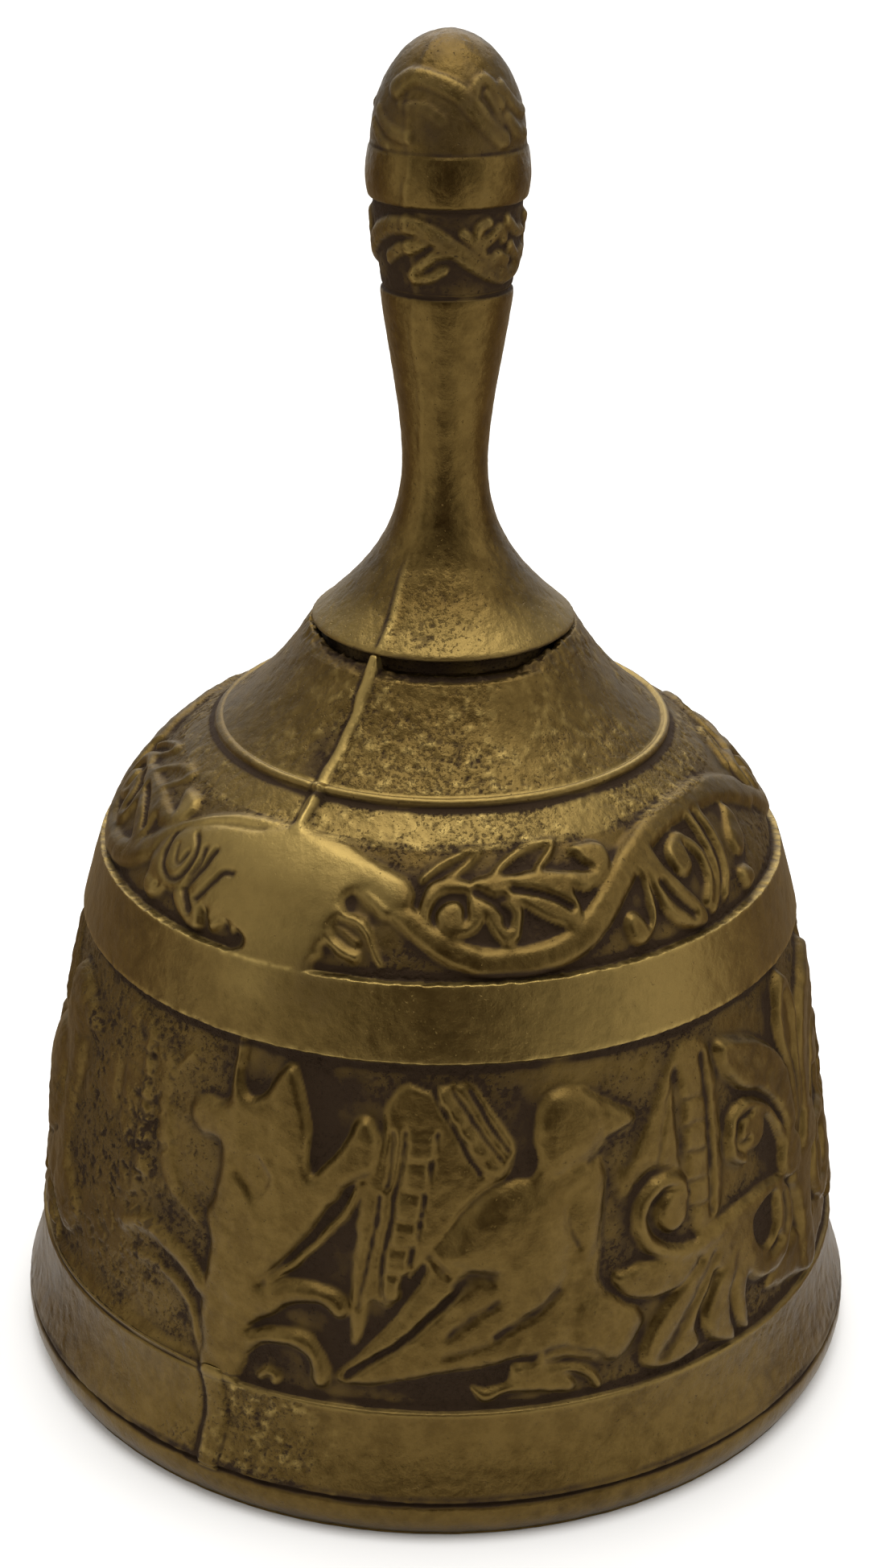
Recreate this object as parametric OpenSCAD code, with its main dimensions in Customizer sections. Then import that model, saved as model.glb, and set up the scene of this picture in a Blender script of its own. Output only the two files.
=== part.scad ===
// Hand bell in cast brass, standing on its mouth: a flared bell with a stepped outline, a waisted
// handle with a domed knob seated on its crown, and an iron clapper hung inside on a ring.
// The frame is in millimetres, +Z up, and the origin is the centre of the rim it stands on.

/* [Bell] */
// Outside diameter of the mouth at its widest ring
mouth_d = 102; // [98:0.5:108]
// Outside diameter of the top edge of the plain band
shoulder_d = 79.6; // [74:0.2:84]
// Outside diameter of the bead ring above the scrollwork
bead_ring_d = 52.6; // [48:0.2:56]
// Diameter of the flat on top of the crown
crown_d = 32.8; // [31:0.2:36]
// Height of the lip ring at the mouth
lip_h = 4.6; // [3.5:0.1:6]
// Height of the flared moulding above the lip ring
flare_h = 10.6; // [8:0.2:14]
// Height of the figured panel
panel_h = 39.2; // [34:0.2:46]
// Height of the plain band
band_h = 8.4; // [6:0.2:11]
// Height from the plain band to the bead ring
shoulder_h = 14.6; // [13:0.2:17]
// Height of the hollow cone from the bead ring to the crown flat
cone_h = 9.8; // [8:0.2:12]
// How far the relief and the plain band stand above the ground
relief_h = 1.1; // [0.6:0.05:1.5]
// Thickness of the bead ring
bead_t = 1.2; // [0.8:0.1:1.8]

/* [Casting walls] */
// Wall of the bell behind the ground
wall = 3.3; // [2.6:0.1:4.2]
// Wall of the bell at the mouth, where the clapper strikes
lip_t = 4.6; // [3.6:0.1:5.4]
// Thickness of the crown
crown_t = 5; // [4:0.1:6.5]
// Diameter of the boss on the crown that carries the handle
boss_d = 26; // [22:0.5:28]
// Height of the gap that the boss leaves under the handle
boss_h = 2; // [1.2:0.1:3]

/* [Relief] */
// Azimuth of the palmette on the casting seam, to the right of the front
palmette_az = -30; // [-36:1:-24]
// Turn from a palmette to the creature on its right
creature_turn = 45; // [43:0.5:47]
// Azimuth of the vine's first trough, to the right of the front
vine_az = 12; // [8:1:16]
// Width of the vine's stem
stem_w = 1.7; // [1.2:0.1:2.2]

/* [Handle] */
// Diameter of the handle's foot
foot_d = 30; // [28.5:0.2:32]
// Height of the handle's foot from its face to the waist
foot_h = 18.5; // [16:0.5:22]
// Diameter of the waist
waist_d = 9.54; // [9.2:0.1:12]
// Length of the grip from the waist to the collar
grip_l = 18.8; // [14:0.2:26]
// Diameter of the collar under the knob
collar_d = 14.5; // [13.6:0.1:16]
// Height of the knob's carved neck
neck_h = 10.2; // [8:0.1:12]
// Azimuth of the low point of the vine round the neck
neck_az = 55; // [45:1:65]
// How far the small vine stands above the neck
neck_relief = 0.5; // [0.3:0.05:0.8]
// Diameter of the knob at its plain band
knob_d = 17.66; // [16.4:0.1:20]
// Height of the knob's plain band
knob_band_h = 5.5; // [4:0.1:7]
// Height of the dome on the knob
dome_h = 11.8; // [9:0.1:14]

/* [Clapper hanging] */
// Diameter of the eye bolt's stud
stud_d = 6; // [5:0.1:6.2]
// Length of the stud inside the handle
stud_grip = 11; // [8:0.5:13]
// Clearance all round between the stud and its holes
stud_clear = 0.15; // [0.1:0.05:0.3]
// Outside diameter of the washer
washer_d = 18; // [15:0.5:22]
// Thickness of the washer
washer_t = 1.5; // [1:0.1:2]
// Width across the flats of the nut
nut_af = 10; // [9:0.5:11]
// Height of the nut
nut_h = 5; // [4:0.1:6]
// Length of bare shank between the nut and the eye
shank_l = 1; // [0.5:0.1:2]
// Wire of the eye
eye_wire = 3.6; // [3:0.1:4]
// Inside diameter of the eye
eye_in_d = 8; // [7.6:0.1:9]
// Wire of the ring
ring_wire = 3.2; // [2.6:0.1:3.4]
// Inside diameter of the ring
ring_in_d = 8.8; // [8.6:0.1:10]
// Gap between hanging pieces where one rides on the next
hang_gap = 0.25; // [0.2:0.05:0.4]

/* [Clapper] */
// Wire of the clapper's eye
loop_wire = 3.4; // [2.8:0.1:3.6]
// Inside diameter of the clapper's eye
loop_in_d = 5.8; // [5.6:0.1:6.4]
// Diameter of the clapper's rod
rod_d = 4.6; // [4:0.1:5.2]
// Diameter of the clapper's ball
ball_d = 20; // [17:0.5:22]
// Height of the ball's lowest face above the rim
ball_clear = 4.4; // [3.5:0.1:8]
// Diameter of the ball's flats, where the collar and the rivet head bear
flat_d = 8; // [7.4:0.1:9]
// Thickness of the collar on the rod
collar_t = 1.6; // [1:0.1:2.5]
// Diameter of the tenon through the ball
tenon_d = 3.6; // [3:0.1:3.9]
// Clearance all round the tenon
tenon_clear = 0.05; // [0.03:0.01:0.1]
// Height of the rivet head under the ball
rivet_h = 1.5; // [1:0.1:2]

/* [Hidden] */
$fn = 96;
brass = "#8f7033";
iron = "#4b4138";

// Levels of the bell, from the rim upwards
flare_z = lip_h + flare_h;
band_z = flare_z + panel_h;
scroll_z = band_z + band_h;
ring_z = scroll_z + shoulder_h;
crown_z = ring_z + cone_h;
seat_z = crown_z + boss_h;
ceiling_z = crown_z - crown_t;

// Levels of the handle, from its foot upwards
waist_z = seat_z + foot_h;
collar_z = waist_z + grip_l;
knob_z = collar_z + neck_h;
dome_z = knob_z + knob_band_h;
top_z = dome_z + dome_h;

// Levels of the clapper's hanging, from the crown downwards
washer_z = ceiling_z - washer_t;
nut_z = washer_z - nut_h;
eye_r = (eye_in_d + eye_wire) / 2;
eye_z = nut_z - shank_l - eye_wire / 2 - eye_r;
ring_r = (ring_in_d + ring_wire) / 2;
ring_top_z = eye_z - eye_r + (eye_wire + ring_wire) / 2 + hang_gap;
ring_mid_z = ring_top_z - ring_r;
loop_r = (loop_in_d + loop_wire) / 2;
loop_top_z = ring_mid_z - ring_r + (ring_wire + loop_wire) / 2 + hang_gap;
loop_mid_z = loop_top_z - loop_r;
flat_rise = sqrt(pow(ball_d / 2, 2) - pow(flat_d / 2, 2));
ball_z = ball_clear + flat_rise;
overlap = 0.5;

// Cubic curve from a to b with the handles ca and cb, in n steps
function curve(a, ca, cb, b, n = 10) = [for (i = [0:n]) let (t = i / n, s = 1 - t)
    s * s * s * a + 3 * s * s * t * ca + 3 * s * t * t * cb + t * t * t * b];

// The points moved sideways by d, to the right of the direction in which they run
function beside(pts, d) = [for (i = [0:len(pts) - 1])
    let (a = pts[max(i - 1, 0)], b = pts[min(i + 1, len(pts) - 1)], v = (b - a) / norm(b - a))
    pts[i] + d * [v[1], -v[0]]];

// Radius of a profile at the height z
function radius_at(pts, z) = lookup(z, [for (p = pts) [p[1], p[0]]]);

// Ground of the casting, behind the relief, from the flare to the bead ring
ground_foot = [mouth_d / 2 - 3.2, flare_z];
ground_edge = [shoulder_d / 2 - relief_h, scroll_z];
ground_top = [bead_ring_d / 2 - bead_t / 2, ring_z];
side_h = scroll_z - flare_z;
side = curve(ground_foot, ground_foot + side_h * [-0.046, 0.34], ground_edge + side_h * [0.108, -0.34],
    ground_edge, 16);
shoulder = curve(ground_edge, ground_edge + shoulder_h * [-0.1, 0.4], ground_top + shoulder_h * [0.4, -0.28],
    ground_top, 12);
cone = curve(ground_top, ground_top + cone_h * [-0.43, 0.3], [crown_d / 2, crown_z] + cone_h * [0.18, -0.3],
    [crown_d / 2, crown_z], 8);
ground = concat(side, [for (i = [1:len(shoulder) - 1]) shoulder[i]]);

panel_ground = curve(side[0], side[0] + panel_h * [-0.056, 0.33],
    [radius_at(side, band_z), band_z] + panel_h * [0.1, -0.33], [radius_at(side, band_z), band_z], 6);

shoulder_ground = curve(ground_edge, ground_edge + shoulder_h * [-0.1, 0.4],
    ground_top + shoulder_h * [0.4, -0.28], ground_top, 6);

// Heights that the relief is drawn on, in units of the outlines below
panel_grid = 40;
shoulder_grid = 14.6;
neck_grid = 10.2;
vine_h = relief_h * 0.8;

// Ground of the knob's carved neck
knob_r = knob_d / 2;
neck = curve([collar_d / 2 - 0.3, collar_z + 0.9], [knob_r - 1.5, collar_z + neck_h * 0.3],
    [knob_r - 0.8, knob_z - neck_h * 0.3], [knob_r - 0.8, knob_z - 0.3], 8);

// Lip ring, groove and flare below the panel
lip_r = mouth_d / 2;
lip_round = 4.5;
lip_mid_z = lip_h * 0.74;
lip_low = -asin(lip_mid_z / lip_round);
lip_high = asin((lip_h - lip_mid_z) / lip_round);
lip = concat([for (i = [0:8]) let (a = lip_low + (lip_high - lip_low) * i / 8)
    [lip_r - lip_round + lip_round * cos(a), lip_mid_z + lip_round * sin(a)]], [[lip_r - 0.6, lip_h + 0.2]]);
flare = curve([lip_r - 0.1, lip_h + 0.5], [lip_r - 1.1, lip_h + flare_h * 0.3],
    [lip_r - 2.3, lip_h + flare_h * 0.5], [lip_r - 2.3, flare_z], 8);

// Cavity of the bell: the ground offset by the wall, thicker at the lip, under a flat ceiling
inside = beside(concat(ground, [for (i = [1:len(cone) - 1]) cone[i]]), -wall);
mouth_r = lip_r - lip_t;
cavity = concat([[0, -overlap], [mouth_r + overlap, -overlap], [mouth_r, lip_h * 0.4], [mouth_r - 1.2, lip_h]],
    [for (p = inside) if (p[1] > flare_z + 4 && p[1] < ceiling_z - 1) p],
    [[radius_at(inside, ceiling_z - 1) - 0.8, ceiling_z], [0, ceiling_z]]);

// Relief outlines: each point is an azimuth from the motif's middle in degrees, and a height in
// fortieths of the panel
stalk = [[0, 0], [2.6, 0], [3.2, 3], [4.8, 6.8], [6, 12.6], [9, 17], [12.5, 23], [13.2, 26.5], [12, 31],
    [10.5, 35], [8.5, 38], [6, 37], [4.5, 34.5], [2.5, 35.5], [0, 37.5]];
long_leaf = [[11.5, 25.5], [16, 30.5], [18.5, 33.2], [20.3, 33.5], [22, 31.5], [21.7, 27], [20, 22],
    [17.5, 19], [12, 16.6], [6.5, 12.8], [12, 19], [17, 25], [15, 26]];
upper_hook = [[4, 12.4], [12, 14.3], [16, 13.9], [18.5, 11.8], [17.8, 10.4], [16.5, 10.4], [16.4, 11.6],
    [13.5, 12], [10, 10.7], [4, 7.4]];
lower_hook = [[3, 6.8], [10, 8], [13, 8], [15.5, 6.2], [16.2, 3.4], [16, 1.6], [14, 1.6], [14, 4.3], [12, 5.9],
    [8, 6.1], [3, 3]];
eagle_body = [[-0.8, 33.5], [0, 35.4], [5, 36], [9, 34.8], [12, 33.4], [14.2, 31.4], [13.4, 30.2], [10, 29.8],
    [8.6, 28], [9, 25], [9.3, 21], [8.2, 17.5], [9, 14], [11, 11.5], [13.7, 8.5], [12, 5], [9.5, 3.8],
    [5, 5], [2, 4.6], [-2, 4.5], [-6, 6], [-10, 5.2], [-15, 4.4], [-20, 3.4], [-25, 2.5], [-27.3, 3.4],
    [-24, 7], [-19, 11.5], [-15, 16], [-12, 17.8], [-14.5, 19.5], [-12, 21], [-11, 23.5], [-9, 25.6],
    [-6, 26.6], [-3, 26.9], [-0.5, 26.3], [0.6, 27.6], [-0.8, 29.5]];
near_wing = [[-25.3, 8], [-24, 8.5], [-22.6, 14], [-20.8, 12.6], [-19.8, 15.5], [-17.8, 21], [-16.5, 27],
    [-14.6, 32], [-8.6, 27.8], [-5.2, 29.8], [-9.8, 37.8], [-20, 38], [-22.3, 33], [-24.3, 27], [-25.2, 16]];
far_wing = [[13, 25], [17, 30], [21, 35.6], [24, 37.5], [29.3, 37], [29.3, 22], [27.5, 15.5], [24, 14.6],
    [18, 15.2], [13.8, 19], [15.5, 23.5]];

// Vine outlines on the shoulder: azimuths from the vine's trough in degrees, and heights above the band
curled_leaf = [[-5, 8.5], [2, 8.9], [8, 8.8], [14.5, 8.5], [16.5, 8.8], [14.5, 9.8], [12.8, 10.4],
    [16, 10.8], [19, 10.5], [21, 9.4], [20.4, 8.3], [18, 7.5], [14, 7.1], [10, 7.7], [4, 7.8], [-1, 7.8]];
hanging_bud = [[27.4, 8], [26.3, 5.4], [25.6, 3.4], [24.6, 2.6], [23.4, 3], [23.6, 4], [22.8, 4.6],
    [21, 4.4], [19.8, 3], [20, 1.6], [21.6, 1.1], [24, 1.4], [26.4, 2.6], [27.6, 4.2], [28.6, 5.6], [29.2, 8]];

// Points drawn as an azimuth and a height, seen square on from the azimuth mid
function square_on(pts, profile, mid) = [for (p = pts) [radius_at(profile, p[1]) * sin(p[0] - mid), p[1]]];

// Points whose heights are stretched by k and set on the level z
function raised(pts, z, k) = [for (p = pts) [p[0], z + p[1] * k]];

// Band of width w along a line of azimuths and heights, where one degree is mm wide
function band_of(line, w, mm) = let (flat = [for (p = line) [p[0] * mm, p[1]]], right = beside(flat, w / 2),
    left = beside(flat, -w / 2), n = len(line))
    [for (p = concat(right, [for (i = [n - 1:-1:0]) left[i]])) [p[0] / mm, p[1]]];

// Lens-shaped leaf from its root to its tip, bent to one side
function leaf(root, tip, w, bend, mm) = let (a = [root[0] * mm, root[1]], b = [tip[0] * mm, tip[1]], n = 5,
    across = [-(b - a)[1], (b - a)[0]] / norm(b - a))
    [for (i = [0:2 * n - 1]) let (out = i <= n, t = (out ? i : 2 * n - i) / n,
        p = a + t * (b - a) + (bend + (out ? w : -w) / 2) * sin(180 * t) * across) [p[0] / mm, p[1]]];

// Spiral band that winds in round a middle from the angle start, to the left or the right by hand
function spiral(middle, r, turns, w, start, hand, mm) = let (n = round(12 * turns))
    band_of([for (i = [0:n]) let (t = i / n, a = start + hand * 360 * turns * t, d = r * (1 - 0.75 * t))
        [middle[0] + d * cos(a) / mm, middle[1] + d * sin(a)]], w, mm);

// Stem of a vine that waves round the axis, lowest at the azimuth 0
function stem(from, to, step, waves, mid_h, rise, w, mm) =
    band_of([for (a = [from:step:to]) [a, mid_h - rise * cos(waves * a)]], w, mm);

// Relief cut to its height over a profile: outlines pushed out from the axis towards an azimuth
module cast_on(az, profile, h) {
    first = profile[len(profile) - 1][0] * 0.8;
    last = max([for (p = profile) p[0]]) + 3;
    intersection() {
        rotate_extrude() polygon(concat(beside(profile, -overlap),
            [for (i = [len(profile) - 1:-1:0]) beside(profile, h)[i]]));
        rotate([90, 0, az]) translate([0, 0, first]) linear_extrude(last - first) children();
    }
}

module on_panel(pts) {
    polygon(square_on(raised(pts, flare_z, panel_h / panel_grid), ground, 0));
}

module palmette(az) {
    cast_on(az, panel_ground, relief_h) for (hand = [-1, 1]) scale([hand, 1]) {
        on_panel(stalk);
        on_panel(long_leaf);
        on_panel(upper_hook);
        on_panel(lower_hook);
    }
}

module creature(az) {
    cast_on(az, panel_ground, relief_h) {
        on_panel(eagle_body);
        on_panel(near_wing);
        on_panel(far_wing);
    }
}

module on_shoulder(pts, mid) {
    polygon(square_on(raised(pts, scroll_z, shoulder_h / shoulder_grid), ground, mid));
}

// One wave of the vine: its stem, the spray above the trough and the leaves under the crest
module vine(az) {
    mm = PI / 180 * 35;
    for (mid = [-22.5, 22.5]) cast_on(az + mid, shoulder_ground, vine_h)
        on_shoulder(stem(mid - 24, mid + 24, 3, 4, 6.3, 4.3, stem_w, mm), mid);
    spray_mid = 3;
    cast_on(az + spray_mid, shoulder_ground, vine_h) {
        on_shoulder(spiral([-10, 6.4], 2.2, 1.25, 0.9, 60, 1, mm), spray_mid);
        on_shoulder(leaf([-14, 8.9], [-4.5, 11.1], 1.2, 0, mm), spray_mid);
        on_shoulder(leaf([-4, 8.8], [10.5, 11.1], 1.6, 0.3, mm), spray_mid);
        on_shoulder(leaf([-6, 8.4], [0, 3.3], 1.7, 0.4, mm), spray_mid);
        on_shoulder(leaf([0, 8.2], [11, 4.4], 1.8, 0.3, mm), spray_mid);
        on_shoulder(curled_leaf, spray_mid);
    }
    crest_mid = 34;
    cast_on(az + crest_mid, shoulder_ground, vine_h) {
        on_shoulder(hanging_bud, crest_mid);
        on_shoulder(leaf([28, 8], [36, 1.2], 1.7, 0, mm), crest_mid);
        on_shoulder(spiral([35.6, 7], 2.1, 1.1, 0.9, 200, -1, mm), crest_mid);
        on_shoulder(leaf([40, 8.4], [37.6, 2.4], 1.5, 0.5, mm), crest_mid);
        on_shoulder(leaf([47, 9.6], [41, 2.2], 1.7, 0.6, mm), crest_mid);
    }
}

// Half a wave of the small vine round the knob's neck, with a leaf on each side of it
module neck_vine(az) {
    mm = PI / 180 * 8;
    for (mid = [22.5, 67.5, 112.5, 157.5]) cast_on(az + mid, neck, neck_relief)
        polygon(square_on(raised(stem(mid - 25, mid + 25, 5, 2, 4.7, 2.6, 1.1, mm), collar_z,
            neck_h / neck_grid), neck, mid));
    for (spot = [[20, 4.6, 50, 8.2], [28, 3.6, 62, 6.4], [88, 6.2, 110, 2], [112, 6, 126, 1.9]])
        cast_on(az + spot[0] + 15, neck, neck_relief)
            polygon(square_on(raised(leaf([spot[0], spot[1]], [spot[2], spot[3]], 1.4, 0.2, mm), collar_z,
                neck_h / neck_grid), neck, spot[0] + 15));
}

// Ring of wire whose axis runs along Y
module wire_ring(r, wire) {
    rotate([90, 0, 0]) rotate_extrude() translate([r, 0]) circle(d = wire, $fn = 32);
}

module bell_body() {
    color(brass) difference() {
        union() {
            rotate_extrude() polygon(concat([[0, 0]], lip, flare, ground,
                [for (i = [1:len(cone) - 1]) cone[i]], [[0, crown_z]]));
            // Plain band between the panel and the scrollwork
            rotate_extrude() polygon(concat(
                [for (p = side) if (p[1] > band_z + 0.4) p + [-overlap, 0]],
                [[shoulder_d / 2, scroll_z], [radius_at(side, band_z + 0.4) + relief_h, band_z + 0.4],
                [radius_at(side, band_z) + relief_h - 0.3, band_z], [radius_at(side, band_z) - overlap, band_z]]));
            // Bead ring above the scrollwork
            rotate_extrude() translate([bead_ring_d / 2 - bead_t / 2, ring_z]) circle(d = bead_t, $fn = 24);
            for (turn = [0:90:270]) {
                palmette(palmette_az + turn);
                creature(palmette_az + creature_turn + turn);
                vine(vine_az + turn);
            }
            // Boss that the handle sits on
            translate([0, 0, crown_z - overlap]) cylinder(d = boss_d, h = boss_h + overlap);
        }
        rotate_extrude() polygon(cavity);
        translate([0, 0, ceiling_z - overlap])
            cylinder(d = stud_d + 2 * stud_clear, h = crown_t + boss_h + 2 * overlap);
    }
}

module handle() {
    foot_r = foot_d / 2;
    waist_r = waist_d / 2;
    collar_r = collar_d / 2;
    foot = curve([foot_r - 0.3, seat_z + 0.6], [foot_r * 0.6, seat_z + foot_h * 0.3],
        [waist_r, seat_z + foot_h * 0.55], [waist_r, waist_z], 12);
    grip = curve([waist_r, waist_z], [waist_r, waist_z + grip_l * 0.3],
        [collar_r - 0.7, collar_z - grip_l * 0.3], [collar_r, collar_z], 10);
    band = curve([knob_r - 0.3, knob_z + 0.3], [knob_r + 0.2, knob_z + knob_band_h * 0.35],
        [knob_r, dome_z - knob_band_h * 0.3], [knob_r - 0.4, dome_z - 0.2], 6);
    dome = [for (i = [0:12]) let (a = i * 7.5)
        [(knob_r - 0.55) * cos(a), dome_z + 0.1 + (dome_h - 0.1) * sin(a)]];
    color(brass) difference() {
        union() {
            rotate_extrude() polygon(concat([[0, seat_z], [foot_r - 0.4, seat_z], [foot_r, seat_z + 0.3]],
                foot, [for (i = [1:len(grip) - 1]) grip[i]], [[collar_r, collar_z + 0.5]], neck, band, dome));
            for (turn = [0, 180]) neck_vine(neck_az + turn);
        }
        translate([0, 0, seat_z - overlap])
            cylinder(d = stud_d + 2 * stud_clear, h = stud_grip + 1 + overlap);
    }
}

module eye_bolt() {
    neck_z = nut_z - shank_l;
    color(iron) union() {
        translate([0, 0, neck_z]) cylinder(d = stud_d, h = seat_z + stud_grip - neck_z);
        translate([0, 0, eye_z + eye_r])
            cylinder(d1 = eye_wire * 0.8, d2 = stud_d, h = neck_z - eye_z - eye_r);
        translate([0, 0, eye_z]) wire_ring(eye_r, eye_wire);
    }
}

module washer() {
    color(iron) translate([0, 0, washer_z]) difference() {
        cylinder(d = washer_d, h = washer_t);
        translate([0, 0, -overlap]) cylinder(d = stud_d + 2 * stud_clear, h = washer_t + 2 * overlap);
    }
}

module nut() {
    corner_d = nut_af / cos(30);
    color(iron) translate([0, 0, nut_z]) difference() {
        intersection() {
            cylinder(d = corner_d, h = nut_h, $fn = 6);
            // Chamfer of the corners at both ends
            rotate_extrude() polygon([[0, 0], [nut_af / 2, 0], [corner_d / 2 + 0.2, 0.6],
                [corner_d / 2 + 0.2, nut_h - 0.6], [nut_af / 2, nut_h], [0, nut_h]]);
        }
        translate([0, 0, -overlap]) cylinder(d = stud_d + 2 * stud_clear, h = nut_h + 2 * overlap);
    }
}

module hanging_ring() {
    color(iron) translate([0, 0, ring_mid_z]) rotate([0, 0, 90]) wire_ring(ring_r, ring_wire);
}

module clapper_rod() {
    loop_end_z = loop_mid_z - loop_r;
    swell_h = 3;
    ball_top_z = ball_z + flat_rise;
    color(iron) union() {
        translate([0, 0, loop_mid_z]) wire_ring(loop_r, loop_wire);
        translate([0, 0, loop_end_z - swell_h]) cylinder(d1 = rod_d, d2 = loop_wire * 0.8, h = swell_h);
        translate([0, 0, ball_top_z + collar_t])
            cylinder(d = rod_d, h = loop_end_z - swell_h - ball_top_z - collar_t);
        translate([0, 0, ball_top_z]) cylinder(d1 = flat_d - 0.6, d2 = flat_d - 1.6, h = collar_t);
        translate([0, 0, ball_z - flat_rise]) cylinder(d = tenon_d, h = 2 * flat_rise + overlap);
        // Hammered rivet head under the ball
        translate([0, 0, ball_z - flat_rise - rivet_h]) cylinder(d1 = tenon_d, d2 = flat_d - 1, h = rivet_h);
    }
}

module clapper_ball() {
    ball = [for (i = [0:20]) let (a = asin(flat_rise * 2 / ball_d) * (i / 10 - 1))
        ball_d / 2 * [cos(a), sin(a)]];
    color(iron) translate([0, 0, ball_z]) rotate_extrude() polygon(concat(
        [[tenon_d / 2 + tenon_clear, -flat_rise]], ball, [[tenon_d / 2 + tenon_clear, flat_rise]]));
}

bell_body();
handle();
eye_bolt();
washer();
nut();
hanging_ring();
clapper_rod();
clapper_ball();
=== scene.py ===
import math

import bpy
import numpy as np
from mathutils import Euler, Matrix, Vector


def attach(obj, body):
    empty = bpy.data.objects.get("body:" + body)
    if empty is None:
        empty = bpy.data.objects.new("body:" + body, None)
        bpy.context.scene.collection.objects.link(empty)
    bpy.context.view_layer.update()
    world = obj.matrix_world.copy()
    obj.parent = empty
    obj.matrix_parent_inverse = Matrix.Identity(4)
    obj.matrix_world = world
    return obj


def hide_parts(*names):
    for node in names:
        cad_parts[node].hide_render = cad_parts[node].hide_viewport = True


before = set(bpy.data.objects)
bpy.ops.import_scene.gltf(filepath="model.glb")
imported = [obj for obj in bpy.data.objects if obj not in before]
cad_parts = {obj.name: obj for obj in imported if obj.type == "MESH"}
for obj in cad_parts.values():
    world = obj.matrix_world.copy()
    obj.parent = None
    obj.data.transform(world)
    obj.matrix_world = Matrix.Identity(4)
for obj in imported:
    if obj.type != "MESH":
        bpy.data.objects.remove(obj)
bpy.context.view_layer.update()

# Camera: the photographed view, from the front, a little above, with the bell filling the upright frame.
# The photograph is 1080 x 1948 and its focal length is 3243 of those pixels.
photo_height = 1948
focal_length = 3243
sensor = 36
look_down = 0.417349
camera_away = 0.30511
aim_height = 0.06825
lean = 0.0110468
shift_right = 8.49
camera = bpy.data.objects.new("camera", bpy.data.cameras.new("camera"))
camera.data.sensor_fit = "VERTICAL"
camera.data.sensor_height = sensor
camera.data.lens = sensor * focal_length / photo_height
camera.data.shift_x = -shift_right / photo_height
camera.data.clip_start = 0.01
place = Matrix.Translation((0, -camera_away * math.cos(look_down),
                            aim_height + camera_away * math.sin(look_down)))
turn = Matrix.Rotation(math.pi / 2 - look_down, 4, "X") @ Matrix.Rotation(lean, 4, "Z")
camera.matrix_world = place @ turn
bpy.context.scene.collection.objects.link(camera)
bpy.context.scene.camera = camera
bpy.context.scene.view_settings.view_transform = "Standard"


# Table: a plain white matt board, wide enough to fill the view behind the bell.
# Its surface lies a hair below the rim, so that the two don't share a plane.
def linear(hex_colour):
    parts = [int(hex_colour[i:i + 2], 16) / 255 for i in (1, 3, 5)]
    return [*(p / 12.92 if p <= 0.04045 else ((p + 0.055) / 1.055) ** 2.4 for p in parts), 1]


def add(tree, kind, inputs=None, out=None, **settings):
    """Adds a node with its settings and links, and gives back its output, or the one that out names."""
    node = tree.nodes.new(kind)
    for name, value in settings.items():
        setattr(node, name, value)
    for key, value in (inputs or {}).items():
        if isinstance(value, bpy.types.NodeSocket):
            tree.links.new(value, node.inputs[key])
        else:
            node.inputs[key].default_value = value
    return node.outputs[out] if out else next((socket for socket in node.outputs if socket.enabled), None)


def new_material(name):
    material = bpy.data.materials.new(name)
    material.use_nodes = True
    material.node_tree.nodes.clear()
    return material, material.node_tree


def new_piece(name, mesh, material=None):
    if material:
        mesh.materials.append(material)
    piece = bpy.data.objects.new(name, mesh)
    bpy.context.scene.collection.objects.link(piece)
    return piece


def mesh_piece(name, points, faces, material):
    mesh = bpy.data.meshes.new(name)
    mesh.from_pydata([tuple(p) for p in points], [], faces)
    return new_piece(name, mesh, material)


# The noise runs once over the board, whose clouds of barely lighter white are 6 m wide.
board_reach, board_top, board_corners, board_cloud = 9.0, -0.0001, 64, 6.0
board, tree = new_material("matt white board")
clouds = add(tree, "ShaderNodeTexNoise", {"Scale": 2 * board_reach / board_cloud, "Detail": 2.0})
white = add(tree, "ShaderNodeMix", {"Factor": clouds, "A": linear("#f7f6f4"), "B": linear("#faf9f8")},
            data_type="RGBA")
shader = add(tree, "ShaderNodeBsdfPrincipled", {"Base Color": white, "Roughness": 0.9,
                                                "Specular IOR Level": 0.1})
add(tree, "ShaderNodeOutputMaterial", {"Surface": shader})
ring = [(board_reach * math.cos(a), board_reach * math.sin(a), board_top)
        for a in np.linspace(0, 2 * math.pi, board_corners + 1)[:-1]]
table = mesh_piece("table", ring, [list(range(board_corners))], board)

# Light: a white room with a wide soft light overhead, one behind, and a small one on each side.
# Dark cards in front of the bell give the brown reflection down its middle, and a sand card the light sides.
world = bpy.data.worlds.new("white room")
world.use_nodes = True
bpy.context.scene.world = world
world.node_tree.nodes.clear()
backdrop = add(world.node_tree, "ShaderNodeBackground", {"Color": linear("#f4f3f1"), "Strength": 0.66})
add(world.node_tree, "ShaderNodeOutputWorld", {"Surface": backdrop})


def soft_light(name, place, aim, size, power):
    lamp = bpy.data.lights.new(name, "AREA")
    lamp.shape = "RECTANGLE"
    lamp.size, lamp.size_y = size
    lamp.energy = power
    light = bpy.data.objects.new(name, lamp)
    direction = Vector(aim) - Vector(place)
    light.matrix_world = Matrix.Translation(place) @ direction.to_track_quat("-Z", "Y").to_matrix().to_4x4()
    bpy.context.scene.collection.objects.link(light)


soft_light("overhead softbox", (0.02, 0.02, 0.95), (0, 0, 0.08), (1.0, 0.8), 8.0)
soft_light("rear softbox", (0, 1.9, 1.3), (0, 1.7, 0), (2.6, 1.4), 24)
soft_light("left softbox", (-0.8, -0.25, 0.35), (0, 0, 0.07), (0.5, 0.8), 0.8)
soft_light("right softbox", (0.8, -0.2, 0.35), (0, 0, 0.07), (0.5, 0.8), 1.3)


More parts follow.
